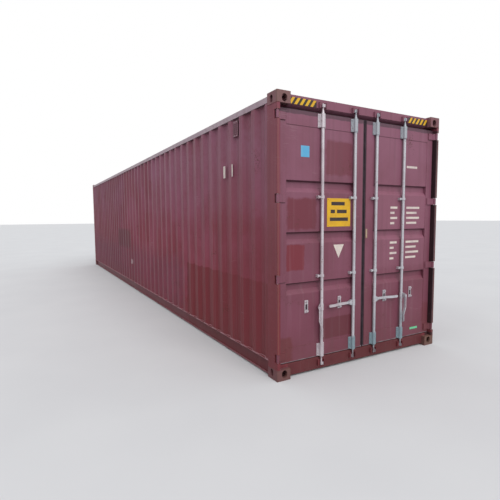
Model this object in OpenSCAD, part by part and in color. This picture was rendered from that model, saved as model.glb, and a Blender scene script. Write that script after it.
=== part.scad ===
// Forty foot high cube steel shipping container with two hinged doors.
// +X points to the door end, +Z up, origin on the ground at the middle.
// The left door is the one on the -Y side, seen from outside.

/* [Overall] */
// Length over the corner fittings
container_length = 12192; // [5900:1:13700]
// Width over the corner fittings
container_width = 2438; // [2300:1:2600]
// Height over the corner fittings
container_height = 2896; // [2500:1:2900]

/* [Corner fittings] */
// Fitting size along the container
fitting_length = 178; // [160:1:190]
// Fitting size across the container
fitting_width = 162; // [150:1:175]
// Fitting height
fitting_height = 118; // [112:1:130]
// Thickness of the walls that carry holes
fitting_wall = 28; // [22:1:30]
// Thickness of the closed walls
fitting_back_wall = 9; // [6:1:12]
// Length of the twistlock slot
slot_length = 124; // [110:1:126]
// Width of the twistlock slot
slot_width = 63.5; // [56:0.5:66]
// Distance of the slot centre from the container's end plane
slot_from_end = 103.5; // [100:0.5:108]
// Distance of the slot centre from the container's side plane
slot_from_side = 89.5; // [86:0.5:92]
// Height of the holes in the upright faces
side_hole_height = 78; // [68:0.5:79]
// Width of the hole in the end face
end_hole_width = 63.5; // [50:0.5:66]
// Width of the hole in the side face
side_hole_width = 51; // [44:0.5:56]

/* [Corner posts] */
// Width of the rear post's face
rear_post_face = 38; // [36:1:44]
// Extra width of the step that the door closes against
rear_post_step = 11; // [8:1:16]
// Wall of the posts
post_wall = 6; // [4:0.5:8]
// Width of the front post's face
front_post_face = 110; // [90:1:130]

/* [Rails and sheets] */
// Height and width of the top side rail
top_rail_size = 60; // [50:1:70]
// Height of the bottom side rail
bottom_rail_height = 162; // [140:1:165]
// Top flange of the bottom side rail
bottom_rail_top_flange = 48; // [40:1:60]
// Bottom flange of the bottom side rail
bottom_rail_bottom_flange = 30; // [22:1:38]
// Height of the rails and sills above the ground
ground_clearance = 12.5; // [11:0.5:20]
// Wall of the rails and headers
rail_wall = 4; // [3:0.5:6]
// Thickness of the side and front sheets
wall_sheet = 1.6; // [1.2:0.1:3]
// Depth of the side corrugations
side_corrugation_depth = 36; // [25:1:40]
// Outer flat of a side corrugation
side_outer_flat = 72; // [55:1:85]
// Inner flat of a side corrugation
side_inner_flat = 70; // [55:1:85]
// Nominal spacing of the side corrugations
side_corrugation_pitch = 281; // [255:1:330]
// Depth of the front wall's corrugations
front_corrugation_depth = 45; // [30:1:50]
// Nominal spacing of the front wall's corrugations
front_corrugation_pitch = 250; // [225:1:290]
// Outer flat of a front corrugation
front_outer_flat = 110; // [90:1:125]
// Inner flat of a front corrugation
front_inner_flat = 104; // [90:1:110]
// Thickness of the roof sheet
roof_sheet = 2; // [1.6:0.1:3]
// Depth of the roof's pressed ribs
roof_rib_depth = 18; // [10:1:20]
// Nominal spacing of the roof's pressed ribs
roof_rib_pitch = 209; // [180:1:260]
// Low flat between two ribs of the roof
roof_low_flat = 70; // [50:1:80]
// Flat on top of a rib of the roof
roof_rib_flat = 90; // [70:1:100]
// Length of the slope that closes a rib's end
roof_rib_run = 42; // [20:1:80]

/* [Underframe] */
// Thickness of the floor boards
floor_board = 28; // [24:1:30]
// Height of the cross members
cross_member_height = 122; // [100:1:124]
// Flange of the cross members
cross_member_flange = 45; // [35:1:60]
// Nominal spacing of the cross members
cross_member_pitch = 340; // [280:1:420]
// Length of the gooseneck tunnel
tunnel_length = 3315; // [1500:1:3500]
// Clear width of the gooseneck tunnel
tunnel_width = 1029; // [900:1:1100]

/* [Doors] */
// Distance of the door's outer face from the end plane
door_inset = 54; // [52:1:58]
// Thickness of the door's frame
door_thickness = 50; // [46:1:54]
// Width of the frame member on the hinge side
hinge_stile = 100; // [95:1:120]
// Width of the frame member on the locking side
lock_stile = 121; // [100:1:124]
// Height of the top and bottom frame members
door_rail_height = 148; // [140:1:160]
// Wall of the door's frame members
door_frame_wall = 3.2; // [2.5:0.1:5]
// Thickness of the door's panel sheet
door_sheet = 2; // [1.5:0.1:3]
// Depth of the recessed bands in the door's panel
band_depth = 34; // [20:1:36]
// Height of a recessed band
band_height = 117; // [100:1:130]
// Height of the lowest band above the leaf's foot
first_band = 708; // [650:1:760]
// Distance from one band to the next
band_pitch = 529; // [480:1:560]
// Gap between the hinge edge of the door and the post
door_gap = 7; // [6:0.5:8]
// Distance of the door's locking edge from the middle
centre_gap = 26; // [24:1:29]
// Width of the rubber seal on the locking edge
centre_seal = 21; // [14:0.5:21]
// Gap that stays open round the rubber seal
seal_clearance = 5; // [4:0.5:6]
// Height of the opening's threshold above the ground
threshold_height = 168; // [165:1:171]
// Depth of the header below the container's top, at the opening
header_depth = 158; // [152:1:170]
// Distance of the header's and sill's outer faces from the end plane
beam_face = 48; // [46:1:52]
// Depth of the header's top below the container's top
header_drop = 12; // [9:1:27]
// Depth of the header's lower lip below the container's top
header_lip = 101; // [90:1:110]
// Height of the slope under the header's lip
header_slope = 34; // [20:1:40]

/* [Hinges] */
// Distance of the hinge pin from the side plane and from the end plane
pin_inset = 18; // [17:0.5:19]
// Radius of the hinge pin
pin_radius = 8; // [6:0.5:9]
// Radius of the hinge knuckle
knuckle_radius = 15; // [13:0.5:16]
// Height of a hinge blade
blade_height = 78; // [60:1:90]
// Thickness of a hinge blade
blade_thickness = 12; // [8:0.5:12]
// Distance of the lowest and highest hinge from the door's edges
hinge_inset = 75; // [65:1:90]

/* [Locking gear] */
// Radius of a lock bar
bar_radius = 17; // [13:0.5:18]
// Distance of a lock bar's axis from the end plane
bar_inset = 30; // [29:0.5:31]
// Distance of the outer lock bars from the middle
outer_bar_y = 627; // [590:1:660]
// Distance of the inner lock bars from the middle
inner_bar_y = 167; // [160:1:190]
// Radius of a cam's neck
neck_radius = 9; // [7:0.5:10]
// Reach of a cam's claw
claw_reach = 27; // [20:1:28]
// Running clearance of pins and rods in their bores
running_clearance = 0.3; // [0.2:0.05:0.6]
// Height of the handle hubs above the ground
hub_height = 703; // [680:1:740]
// Distance of a handle's pivot from its lock bar's axis
pivot_reach = 56; // [52:1:64]
// Reach of a handle from its lock bar's axis
handle_reach = 374; // [340:1:400]
// Distance from a lock bar's axis back to the middle of its handle's root
handle_setback = 8; // [4:1:9]
// Distance from a lock bar's axis out to the middle of its handle's grip
handle_offset = 22; // [10:1:23]
// Width of a handle's bar
handle_width = 28; // [22:1:30]
// Thickness of a handle's bar
handle_thickness = 12; // [8:0.5:12]
// Distance of a handle's retainer from the lock bar's axis
retainer_reach = 188; // [170:1:200]
// Outward turn of the left outer lock bar
left_outer_turn = 40; // [30:1:60]
// Outward turn of the right outer lock bar
right_outer_turn = 90; // [75:1:90]

/* [Hidden] */
$fn = 48;

// Overall half sizes and the levels of the main members
hl = container_length / 2;
hw = container_width / 2;
post_base = fitting_height;
post_top = container_height - fitting_height;
face_setback = 3;
wall_setback = 5;
rail_drop = 27;
rail_top = container_height - rail_drop;
rail_base = rail_top - top_rail_size;
sill_top = ground_clearance + bottom_rail_height;
floor_rise = 3;
beam_top = threshold_height + floor_rise - floor_board;
beam_base = beam_top - cross_member_height;
beam_wall = 4;
rail_web_y = hw - face_setback - bottom_rail_top_flange;
opening_top = container_height - header_depth;

// Colours of the finishes
maroon = "#8a5864";
side_maroon = "#7a4652";
floor_brown = "#8b6b4a";
bare_steel = "#b3abae";
rubber_black = "#26262a";
vent_grey = "#a99a9c";

// Plan views that keep their sheet's or tube's wall
function unit(v) = v / norm(v);
function left_of(v) = [-v.y, v.x];
function shifted(a, b, c, t) =
    let (m = left_of(unit(b - a)), n = left_of(unit(c - b))) b + (m + n) * t / (1 + m * n);
function inset(outline, t) =
    let (n = len(outline))
    [for (i = [0 : n - 1]) shifted(outline[(i + n - 1) % n], outline[i], outline[(i + 1) % n], t)];
function far_side(path, i, t) =
    i == 0 ? path[0] + left_of(unit(path[1] - path[0])) * t
    : i == len(path) - 1 ? path[i] + left_of(unit(path[i] - path[i - 1])) * t
    : shifted(path[i - 1], path[i], path[i + 1], t);
function sheet_outline(path, t) =
    concat(path, [for (i = [len(path) - 1 : -1 : 0]) far_side(path, i, t)]);

// Trapezoidal wave along the first axis, from -span/2 to span/2, that ends on outer flats
function wave(span, base, depth, pitch, outer_flat, inner_flat) =
    let (
        count = round((span + outer_flat) / pitch),
        step = (span + outer_flat) / count,
        slope = (step - outer_flat - inner_flat) / 2
    )
    [for (i = [0 : count - 1]) let (x = -span / 2 + i * step)
        each [[x, base], [x + slope, base + depth],
              [x + slope + inner_flat, base + depth], [x + step - outer_flat, base]]];

// Places given from the left rear corner: u inboard from the side, v inboard from the end
function rear(u, v) = [hl - v, u - hw];

module prism(outline, z0, z1) {
    translate([0, 0, z0]) linear_extrude(z1 - z0) polygon(outline);
}
module along_x(outline, x0, x1) {
    translate([x0, 0, 0]) rotate([90, 0, 90]) linear_extrude(x1 - x0) polygon(outline);
}
module along_y(outline, y0, y1) {
    translate([0, y1, 0]) rotate([90, 0, 0]) linear_extrude(y1 - y0) polygon(outline);
}
module block(low, high) {
    translate(low) cube(high - low);
}
module both_sides() {
    children();
    mirror([0, 1, 0]) children();
}
module right_side() {
    mirror([0, 1, 0]) children();
}

// Corner fittings: hollow castings, drawn for the corner at the origin that looks to -X and -Y
module stadium(length, width, height) {
    for (side = [-1, 1])
        translate([side * (length - width) / 2, 0, 0]) cylinder(d = width, h = height);
    translate([-(length - width) / 2, -width / 2, 0]) cube([length - width, width, height]);
}
module corner_fitting() {
    hole_mid = fitting_wall + (fitting_height - fitting_wall - fitting_back_wall) / 2;
    difference() {
        cube([fitting_length, fitting_width, fitting_height]);
        block([fitting_wall, fitting_wall, fitting_wall],
              [fitting_length, fitting_width, fitting_height] - fitting_back_wall * [1, 1, 1]);
        translate([slot_from_end, slot_from_side, -1]) stadium(slot_length, slot_width, fitting_wall + 2);
        translate([-1, slot_from_side, hole_mid]) rotate([0, 90, 0])
            stadium(side_hole_height, end_hole_width, fitting_wall + 2);
        translate([slot_from_end, -1, hole_mid]) rotate([-90, 90, 0])
            stadium(side_hole_height, side_hole_width, fitting_wall + 2);
    }
}
module front_fittings() {
    both_sides() translate([-hl, -hw, 0]) corner_fitting();
}
module to_top() {
    translate([0, 0, container_height]) mirror([0, 0, 1]) children();
}
module to_door_end() {
    mirror([1, 0, 0]) children();
}
module corner_fittings_door_end_bottom() {
    color(maroon) to_door_end() front_fittings();
}
module corner_fittings_door_end_top() {
    color(maroon) to_top() to_door_end() front_fittings();
}
module corner_fittings_front_end_bottom() {
    color(maroon) front_fittings();
}
module corner_fittings_front_end_top() {
    color(maroon) to_top() front_fittings();
}

// Hinges: where they sit, and the post's notches with their lugs
hinge_count = 4;
leaf_overlap_low = 8;
leaf_overlap_top = 7;
leaf_base = threshold_height - leaf_overlap_low;
leaf_top = opening_top + leaf_overlap_top;
leaf_inner = door_inset + door_thickness;
stop_play = 2;
stop_depth = leaf_inner + stop_play;
opening_u = rear_post_face + rear_post_step;
leaf_edge_u = rear_post_face + door_gap;
lug_thickness = 12;
lug_setback = 1;
notch_play = 5;
notch_height = blade_height + 2 * notch_play;
notch_lip = 4;
notch_shelf = pin_inset - notch_lip;
swing_play = 13;
notch_depth = pin_inset + knuckle_radius + swing_play;
function hinge_z(i) =
    leaf_base + hinge_inset + i * (leaf_top - leaf_base - 2 * hinge_inset) / (hinge_count - 1);

module left_door_post_shape() {
    outline = [rear(0, 0), rear(rear_post_face, 0), rear(rear_post_face, stop_depth),
               rear(opening_u, stop_depth), rear(opening_u, fitting_length), rear(0, fitting_length)];
    lug_face = rear_post_face - lug_setback;
    lug = [rear(lug_setback, lug_setback), rear(lug_face, lug_setback), rear(lug_face, door_inset),
           rear(lug_setback, door_inset)];
    difference() {
        union() {
            difference() {
                prism(outline, post_base, post_top);
                prism(inset(outline, post_wall), post_base - 1, post_top + 1);
            }
            for (i = [0 : hinge_count - 1])
                prism(lug, hinge_z(i) - notch_height / 2 - lug_thickness,
                      hinge_z(i) + notch_height / 2 + lug_thickness);
        }
        for (i = [0 : hinge_count - 1]) translate([0, 0, hinge_z(i)]) {
            prism([rear(-1, -1), rear(rear_post_face + 1, -1), rear(rear_post_face + 1, door_inset),
                   rear(notch_shelf, door_inset), rear(notch_shelf, notch_depth),
                   rear(-1, notch_depth)], -notch_height / 2, notch_height / 2);
            translate(rear(pin_inset, pin_inset))
                cylinder(r = pin_radius, h = notch_height + 2 * lug_thickness + 2, center = true);
        }
    }
}
module left_door_post() {
    color(maroon) left_door_post_shape();
}
module right_door_post() {
    color(maroon) right_side() left_door_post_shape();
}
module hinge_pins() {
    color(bare_steel) both_sides() for (i = [0 : hinge_count - 1])
        translate(concat(rear(pin_inset, pin_inset), hinge_z(i)))
            cylinder(r = pin_radius, h = notch_height + 2 * lug_thickness, center = true);
}

// Front corner posts: a pressed section with a slanted inner face
front_post_lip = 52;
front_post_flat = 66;
front_post_outline =
    [[-hl, -hw], [-hl + fitting_length, -hw], [-hl + fitting_length, -hw + opening_u],
     [-hl + fitting_length - front_post_flat, -hw + opening_u],
     [-hl + front_post_lip, -hw + front_post_face], [-hl, -hw + front_post_face]];
module front_corner_posts() {
    color(side_maroon) both_sides() difference() {
        prism(front_post_outline, post_base, post_top);
        prism(inset(front_post_outline, post_wall), post_base - 1, post_top + 1);
    }
}

// Side rails between the fittings
module top_side_rails() {
    y = hw - face_setback;
    outline = [[-y, rail_base], [top_rail_size - y, rail_base],
               [top_rail_size - y, rail_top], [-y, rail_top]];
    color(side_maroon) both_sides() difference() {
        along_x(outline, -hl + fitting_length, hl - fitting_length);
        along_x(inset(outline, rail_wall), -hl + fitting_length - 1, hl - fitting_length + 1);
    }
}
module bottom_side_rails() {
    y = hw - face_setback;
    path = [[-rail_web_y - bottom_rail_bottom_flange, ground_clearance], [-rail_web_y, ground_clearance],
            [-rail_web_y, sill_top], [-y, sill_top]];
    color(side_maroon) both_sides()
        along_x(sheet_outline(path, rail_wall), -hl + fitting_length, hl - fitting_length);
}

// Door header and sill: box sections that run between the fittings and reach the posts
module clear_of_fittings() {
    difference() {
        children();
        both_sides() for (z = [-1, post_top])
            block([-hl - 1, -hw - 1, z], [hl + 1, fitting_width - hw, z + fitting_height + 1]);
    }
}
function header_outline() =
    let (lip = container_height - header_lip, top = container_height - header_drop)
    [[hl - fitting_length, opening_top], [hl - stop_depth, opening_top],
     [hl - stop_depth, lip - header_slope], [hl - beam_face, lip],
     [hl - beam_face, top], [hl - fitting_length, top]];
function sill_outline() =
    [[hl - fitting_length, sill_base], [hl - beam_face, sill_base],
     [hl - beam_face, threshold_height - sill_step - sill_slope],
     [hl - door_inset, threshold_height - sill_step],
     [hl - stop_depth, threshold_height - sill_step], [hl - stop_depth, threshold_height],
     [hl - fitting_length, threshold_height]];
module beam(outline, y0, y1) {
    difference() {
        along_y(outline, y0, y1);
        along_y(inset(outline, rail_wall), y0 - 1, y1 + 1);
    }
}
beam_reach = hw - fitting_width;
sill_lift = 8;
sill_base = ground_clearance + sill_lift;
sill_step = 20;
sill_slope = 4;
module door_header() {
    color(maroon) beam(header_outline(), -beam_reach, beam_reach);
}
module door_sill() {
    color(maroon) beam(sill_outline(), -beam_reach, beam_reach);
}
module door_beam_ends() {
    color(maroon) both_sides() clear_of_fittings()
        for (outline = [header_outline(), sill_outline()]) beam(outline, -hw + opening_u, -beam_reach);
}
front_beam = 60;
front_beam_inner = wall_setback + front_beam;
front_sill_drop = 6;
front_sill_top = threshold_height - front_sill_drop;
front_header_depth = 136;
front_header_base = container_height - front_header_depth;
module front_beam_section(z0, z1, wall) {
    outline = [[-hl + wall_setback, z0], [-hl + front_beam_inner, z0],
               [-hl + front_beam_inner, z1], [-hl + wall_setback, z1]];
    reach = hw - front_post_face;
    clear_of_fittings() difference() {
        along_y(outline, -reach, reach);
        along_y(inset(outline, wall), -reach - 1, reach + 1);
    }
}
module front_header() {
    color(side_maroon) front_beam_section(front_header_base, rail_top, rail_wall);
}
tunnel_wall = 4;
tunnel_plate = 6;
tunnel_roof = beam_top - tunnel_plate;
module front_sill() {
    half = tunnel_width / 2 + tunnel_wall;
    color(side_maroon) difference() {
        front_beam_section(ground_clearance, front_sill_top, rail_wall);
        block([-hl - 1, -half, 0], [-hl + front_beam_inner + 1, half, beam_top]);
    }
}

// Corrugated walls and the roof
sheet_margin = 50;
module side_wall() {
    span = container_length - 2 * (fitting_length + sheet_margin);
    base = wall_setback - hw;
    crest = wave(span, base, side_corrugation_depth, side_corrugation_pitch,
                 side_outer_flat, side_inner_flat);
    path = concat([[-hl + fitting_length, base]], crest, [[hl - fitting_length, base]]);
    prism(sheet_outline(path, wall_sheet), sill_top, rail_base);
}
module left_side_wall() {
    color(side_maroon) side_wall();
}
module right_side_wall() {
    color(side_maroon) right_side() side_wall();
}
front_margin = 30;
module front_wall() {
    reach = hw - front_post_face;
    crest = wave(2 * (reach - front_margin), wall_setback, front_corrugation_depth,
                 front_corrugation_pitch, front_outer_flat, front_inner_flat);
    path = concat([[-reach, wall_setback]], crest, [[reach, wall_setback]]);
    color(side_maroon) translate([-hl, 0, 0]) rotate(-90) mirror([1, 0, 0])
        prism(sheet_outline(path, wall_sheet), front_sill_top, front_header_base);
}

// The roof: ribs pressed up out of one sheet, with sloped ends
roof_margin = 60;
roof_rib_margin = 45;
roof_end_plate = 4;
function over(path, t) =
    concat([path[0]], [for (i = [0 : len(path) - 1]) far_side(path, i, t)], [path[len(path) - 1]]);
function under(path, drop) =
    concat([path[0] - [0, drop]], path, [path[len(path) - 1] - [0, drop]]);
module roof_panel() {
    reach = hw - face_setback - top_rail_size / 2;
    end_x = hl - fitting_length;
    end_reach = hw - fitting_width;
    rib_reach = reach - roof_rib_margin;
    rib_top = rail_top + roof_rib_depth;
    ribs = wave(2 * (end_x - roof_margin), rail_top, roof_rib_depth, roof_rib_pitch,
                roof_low_flat, roof_rib_flat);
    along = concat([[-end_x, rail_top]], ribs, [[end_x, rail_top]]);
    across = [[-reach, rail_top], [-rib_reach, rail_top], [roof_rib_run - rib_reach, rib_top],
              [rib_reach - roof_rib_run, rib_top], [rib_reach, rail_top], [reach, rail_top]];
    color(side_maroon) {
        difference() {
            intersection() {
                along_y(over(along, roof_sheet), -reach, reach);
                along_x(over(across, roof_sheet), -end_x, end_x);
            }
            intersection() {
                along_y(under(along, 1), -reach - 1, reach + 1);
                along_x(under(across, 1), -end_x - 1, end_x + 1);
            }
        }
        block([-hl + wall_setback, -end_reach, rail_top],
              [-end_x, end_reach, rail_top + roof_end_plate]);
    }
}

// Underframe and floor
module floor_boards() {
    color(floor_brown) difference() {
        block([-hl + front_beam_inner, -rail_web_y, beam_top],
              [hl - fitting_length, rail_web_y, beam_top + floor_board]);
        both_sides() prism(front_post_outline, beam_top - 1, beam_top + floor_board + 1);
    }
}
tunnel_end = -hl + tunnel_length;
tunnel_half = tunnel_width / 2 + tunnel_wall;
module cross_member(x, y0, y1) {
    path = [[x + cross_member_flange, beam_base], [x, beam_base],
            [x, beam_top], [x + cross_member_flange, beam_top]];
    along_y(sheet_outline(path, -beam_wall), y0, y1);
}
function spread(from, to, pitch) =
    let (count = round((to - from) / pitch)) [for (i = [0 : count - 1]) from + i * (to - from) / count];
member_gap = 20;
front_member_gap = 120;
module cross_members() {
    front_first = -hl + front_beam_inner + front_member_gap;
    first = tunnel_end + member_gap;
    last = hl - fitting_length;
    color(side_maroon) {
        for (x = spread(first, last, cross_member_pitch)) cross_member(x, -rail_web_y, rail_web_y);
        both_sides() for (x = spread(front_first, tunnel_end, cross_member_pitch))
            cross_member(x, -rail_web_y, -tunnel_half);
    }
}
module gooseneck_tunnel() {
    half = tunnel_width / 2;
    outline = [[-tunnel_half, beam_base], [-half, beam_base], [-half, tunnel_roof], [half, tunnel_roof],
               [half, beam_base], [tunnel_half, beam_base], [tunnel_half, beam_top],
               [-tunnel_half, beam_top]];
    color(side_maroon) along_x(outline, -hl + wall_setback, tunnel_end);
}

// Ventilators: louvred boxes in a side recess, one near each end, on opposite sides
vent_height = 178;
vent_depth = 28;
vent_drop = 24;
vent_top = rail_base - vent_drop;
vent_slots = 6;
vent_slot_height = 8;
vent_slot_depth = 24;
vent_slot_tilt = 35;
vent_first_slot = 24;
vent_slot_pitch = 23;
vent_side_play = 2;
module ventilator(x) {
    y = wall_setback - hw + side_corrugation_depth;
    face = y - vent_depth;
    base = side_inner_flat / 2 - vent_side_play;
    front = base + vent_depth;
    outline = [[x - base, y], [x - front, face], [x + front, face], [x + base, y]];
    slot = [2 * front - vent_slot_depth, vent_slot_depth, vent_slot_height];
    difference() {
        prism(outline, vent_top - vent_height, vent_top);
        for (i = [0 : vent_slots - 1])
            translate([x, face, vent_top - vent_height + vent_first_slot + i * vent_slot_pitch])
                rotate([vent_slot_tilt, 0, 0]) cube(slot, center = true);
    }
}
vent_recess = 2.5;
module side_ventilators() {
    span = container_length - 2 * (fitting_length + sheet_margin);
    step = (span + side_outer_flat) / round((span + side_outer_flat) / side_corrugation_pitch);
    recess = span / 2 - vent_recess * step + side_outer_flat / 2;
    color(vent_grey) {
        ventilator(recess);
        rotate(180) ventilator(recess);
    }
}

// Door leaves, drawn for the left side
leaf_lock_y = -centre_gap;
leaf_hinge_y = -(hw - leaf_edge_u);
module box_tube_z(x0, x1, y0, y1, z0, z1) {
    outline = [[x0, y0], [x1, y0], [x1, y1], [x0, y1]];
    difference() {
        prism(outline, z0, z1);
        prism(inset(outline, door_frame_wall), z0 - 1, z1 + 1);
    }
}
module box_tube_y(x0, x1, z0, z1, y0, y1) {
    outline = [[x0, z0], [x1, z0], [x1, z1], [x0, z1]];
    difference() {
        along_y(outline, y0, y1);
        along_y(inset(outline, door_frame_wall), y0 - 1, y1 + 1);
    }
}
module door_frame() {
    outer = hl - door_inset;
    inner = hl - leaf_inner;
    box_tube_z(inner, outer, leaf_hinge_y, leaf_hinge_y + hinge_stile, leaf_base, leaf_top);
    box_tube_z(inner, outer, leaf_lock_y - lock_stile, leaf_lock_y, leaf_base, leaf_top);
    for (z = [leaf_base, leaf_top - door_rail_height])
        box_tube_y(inner, outer, z, z + door_rail_height,
                   leaf_hinge_y + hinge_stile, leaf_lock_y - lock_stile);
}
panel_setback = 4;
panel_face = hl - door_inset - panel_setback;
band_top_slope = 8;
band_low_slope = 45;
function band_z(i) = leaf_base + first_band + band_pitch * i;
function band_path(i) =
    let (z = band_z(i))
    [[panel_face, z], [panel_face - band_depth, z + band_low_slope],
     [panel_face - band_depth, z + band_height - band_top_slope], [panel_face, z + band_height]];
module door_panel() {
    z0 = leaf_base + door_rail_height;
    z1 = leaf_top - door_rail_height;
    path = concat([[panel_face, z0]], [for (i = [0 : 2]) each band_path(i)], [[panel_face, z1]]);
    along_y(sheet_outline(path, door_sheet), leaf_hinge_y + hinge_stile, leaf_lock_y - lock_stile);
}
seal_setback = 6;
seal_inset = 2;
seal_lip = 7;
module door_seal() {
    x0 = hl - leaf_inner + seal_inset;
    x1 = hl - door_inset - seal_setback;
    edge = door_gap - seal_clearance;
    difference() {
        block([x0, leaf_hinge_y - edge, leaf_base - seal_lip],
              [x1, leaf_lock_y + centre_seal, leaf_top + seal_lip]);
        block([x0 - 1, leaf_hinge_y, leaf_base], [x1 + 1, leaf_lock_y, leaf_top]);
    }
}
module strip(a, b, width, z0, z1) {
    n = left_of(unit(b - a)) * width / 2;
    prism([a - n, b - n, b + n, a + n], z0, z1);
}
blade_reach = 86;
blade_root = 6;
module door_hinge_blades() {
    pin = rear(pin_inset, pin_inset);
    root = rear(leaf_edge_u + blade_root, door_inset - blade_thickness / 2);
    for (i = [0 : hinge_count - 1]) translate([0, 0, hinge_z(i)]) difference() {
        union() {
            translate(pin) cylinder(r = knuckle_radius, h = blade_height, center = true);
            strip(pin, root, blade_thickness, -blade_height / 2, blade_height / 2);
            prism([rear(leaf_edge_u, door_inset - blade_thickness), rear(leaf_edge_u, door_inset),
                   rear(leaf_edge_u + blade_reach, door_inset),
                   rear(leaf_edge_u + blade_reach, door_inset - blade_thickness)],
                  -blade_height / 2, blade_height / 2);
        }
        translate(pin) cylinder(r = pin_radius + running_clearance, h = blade_height + 2, center = true);
    }
}

// Brackets and guides that carry the lock bars
bracket_height = 138;
bracket_half_width = 50;
bracket_plate = 6;
bracket_low = 4;
bracket_top = 8;
guide_height = 30;
bore_radius = bar_radius + running_clearance;
housing_wall = 9;
housing_flare = 14;
guide_wall = 7;
housing_radius = bar_radius + housing_wall;
housing_foot = housing_radius + housing_flare;
guide_radius = bar_radius + guide_wall;
module bar_bracket(y, z0) {
    x_face = hl - door_inset;
    difference() {
        union() {
            block([x_face, y - bracket_half_width, z0],
                  [x_face + bracket_plate, y + bracket_half_width, z0 + bracket_height]);
            prism([[x_face, y - housing_foot], [hl - bar_inset, y - housing_radius],
                   [hl - bar_inset, y + housing_radius], [x_face, y + housing_foot]],
                  z0, z0 + bracket_height);
            translate([hl - bar_inset, y, z0]) cylinder(r = housing_radius, h = bracket_height);
        }
        translate([hl - bar_inset, y, z0 - 1]) cylinder(r = bore_radius, h = bracket_height + 2);
        block([x_face - bracket_half_width, y - bracket_half_width, z0 - 1],
              [x_face, y + bracket_half_width, z0 + bracket_height + 1]);
    }
}
guide_arm = 62;
guide_foot = 16;
guide_rib = 6;
module bar_guide(y, z) {
    on_stile = abs(y - guide_arm) < centre_gap + lock_stile;
    seat = on_stile ? hl - door_inset : panel_face;
    difference() {
        union() {
            translate([hl - bar_inset, y, z]) cylinder(r = guide_radius, h = guide_height);
            block([hl - bar_inset - guide_rib, y - guide_arm, z + guide_rib],
                  [hl - bar_inset + guide_rib, y, z + guide_height - guide_rib]);
            block([seat, y - guide_arm, z],
                  [hl - bar_inset + guide_rib, y - guide_arm + guide_foot, z + guide_height]);
        }
        translate([hl - bar_inset, y, z - 1]) cylinder(r = bore_radius, h = guide_height + 2);
    }
}
guide_above_band = 45;
guide_below_band = 60;
guide_low_z = band_z(0) + band_height + guide_above_band;
guide_high_z = band_z(2) - guide_below_band;
module bar_brackets(side) {
    for (y = [outer_bar_y, inner_bar_y] * side) {
        bar_bracket(y, leaf_base + bracket_low);
        bar_bracket(y, leaf_top - bracket_top - bracket_height);
        bar_guide(y, guide_low_z);
        bar_guide(y, guide_high_z);
    }
}

// Handle retainers: a base plate, a bent hook under the handle and a bent lug above it
hook_half_width = 9;
hook_sheet = 6;
hook_play = 3;
hook_drop = 26;
hook_bend = 8;
lug_rise = 62;
lug_height = 20;
lug_tip_setback = 10;
retainer_plate = 5;
retainer_half_width = 22;
retainer_below = 48;
retainer_above = 88;
module handle_retainer(y) {
    grip_low = hub_height - handle_width / 2;
    seat = panel_face + retainer_plate;
    lip_x = hl - bar_inset - handle_setback + handle_thickness / 2 + hook_sheet;
    hook = [[seat, grip_low - hook_drop], [lip_x - hook_bend, grip_low - hook_drop],
            [lip_x, grip_low - hook_drop + hook_bend], [lip_x, grip_low - hook_play]];
    lug_z = hub_height + lug_rise;
    lug = [[seat, lug_z], [lip_x - lug_tip_setback, lug_z], [lip_x - hook_sheet, lug_z + lug_height]];
    block([panel_face, y - retainer_half_width, hub_height - retainer_below],
          [seat, y + retainer_half_width, hub_height + retainer_above]);
    for (path = [hook, lug])
        along_y(sheet_outline(path, hook_sheet), y - hook_half_width, y + hook_half_width);
}
module handle_retainers() {
    for (y = [outer_bar_y, inner_bar_y]) handle_retainer(-y - retainer_reach);
}

module left_door_frame() {
    color(maroon) door_frame();
}
module right_door_frame() {
    color(maroon) right_side() door_frame();
}
module left_door_panel() {
    color(maroon) door_panel();
}
module right_door_panel() {
    color(maroon) right_side() door_panel();
}
module left_door_seal() {
    color(rubber_black) door_seal();
}
module right_door_seal() {
    color(rubber_black) right_side() door_seal();
}
module left_door_hinge_blades() {
    color(maroon) door_hinge_blades();
}
module right_door_hinge_blades() {
    color(maroon) right_side() door_hinge_blades();
}
module left_door_bar_brackets() {
    color(bare_steel) bar_brackets(-1);
}
module right_door_bar_brackets() {
    color(bare_steel) bar_brackets(1);
}
module left_door_handle_retainers() {
    color(bare_steel) handle_retainers();
}
module right_door_handle_retainers() {
    color(bare_steel) right_side() handle_retainers();
}

// Lock bars and handles, drawn about the bar's axis: x outwards, y towards the handle
bar_below_leaf = 2;
bar_below_top = 4;
bar_base = leaf_base - bar_below_leaf;
bar_end = leaf_top - bar_below_top;
low_keeper_z = 62;
top_keeper_drop = 102;
top_keeper_z = container_height - top_keeper_drop;
keeper_height = 58;
claw_height = 30;
hub_half_height = 34;
cheek_half_height = 30;
cheek_step = 8;
hub_wall = 4;
hub_radius = bar_radius + hub_wall;
cheek_thickness = 6;
cheek_trim = 2;
top_cone = 40;
foot_cone = 14;
claw_seat = 8;
neck_end = 12;
pin_head = 3;
pivot_pin_radius = 6;
eye_radius = handle_width / 2;
module claw() {
    reach = claw_reach;
    prism([[-neck_radius / 2, 0], [0, -neck_radius / 2], [reach * 0.9, reach * 0.15],
           [reach * 0.96, reach * 0.3], [reach * 0.55, reach * 0.42], [reach * 0.5, reach * 0.75],
           [reach * 0.25, reach * 0.96], [-reach * 0.1, reach * 0.9]], 0, claw_height);
}
module handle_cheek() {
    tip = pivot_reach + eye_radius - cheek_trim;
    rotate([90, 0, 90]) linear_extrude(cheek_thickness)
        polygon([[0, -cheek_half_height], [hub_radius + cheek_step, -cheek_half_height], [tip, -eye_radius],
                 [tip, eye_radius], [hub_radius + cheek_step, cheek_half_height], [0, cheek_half_height]]);
}
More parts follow.
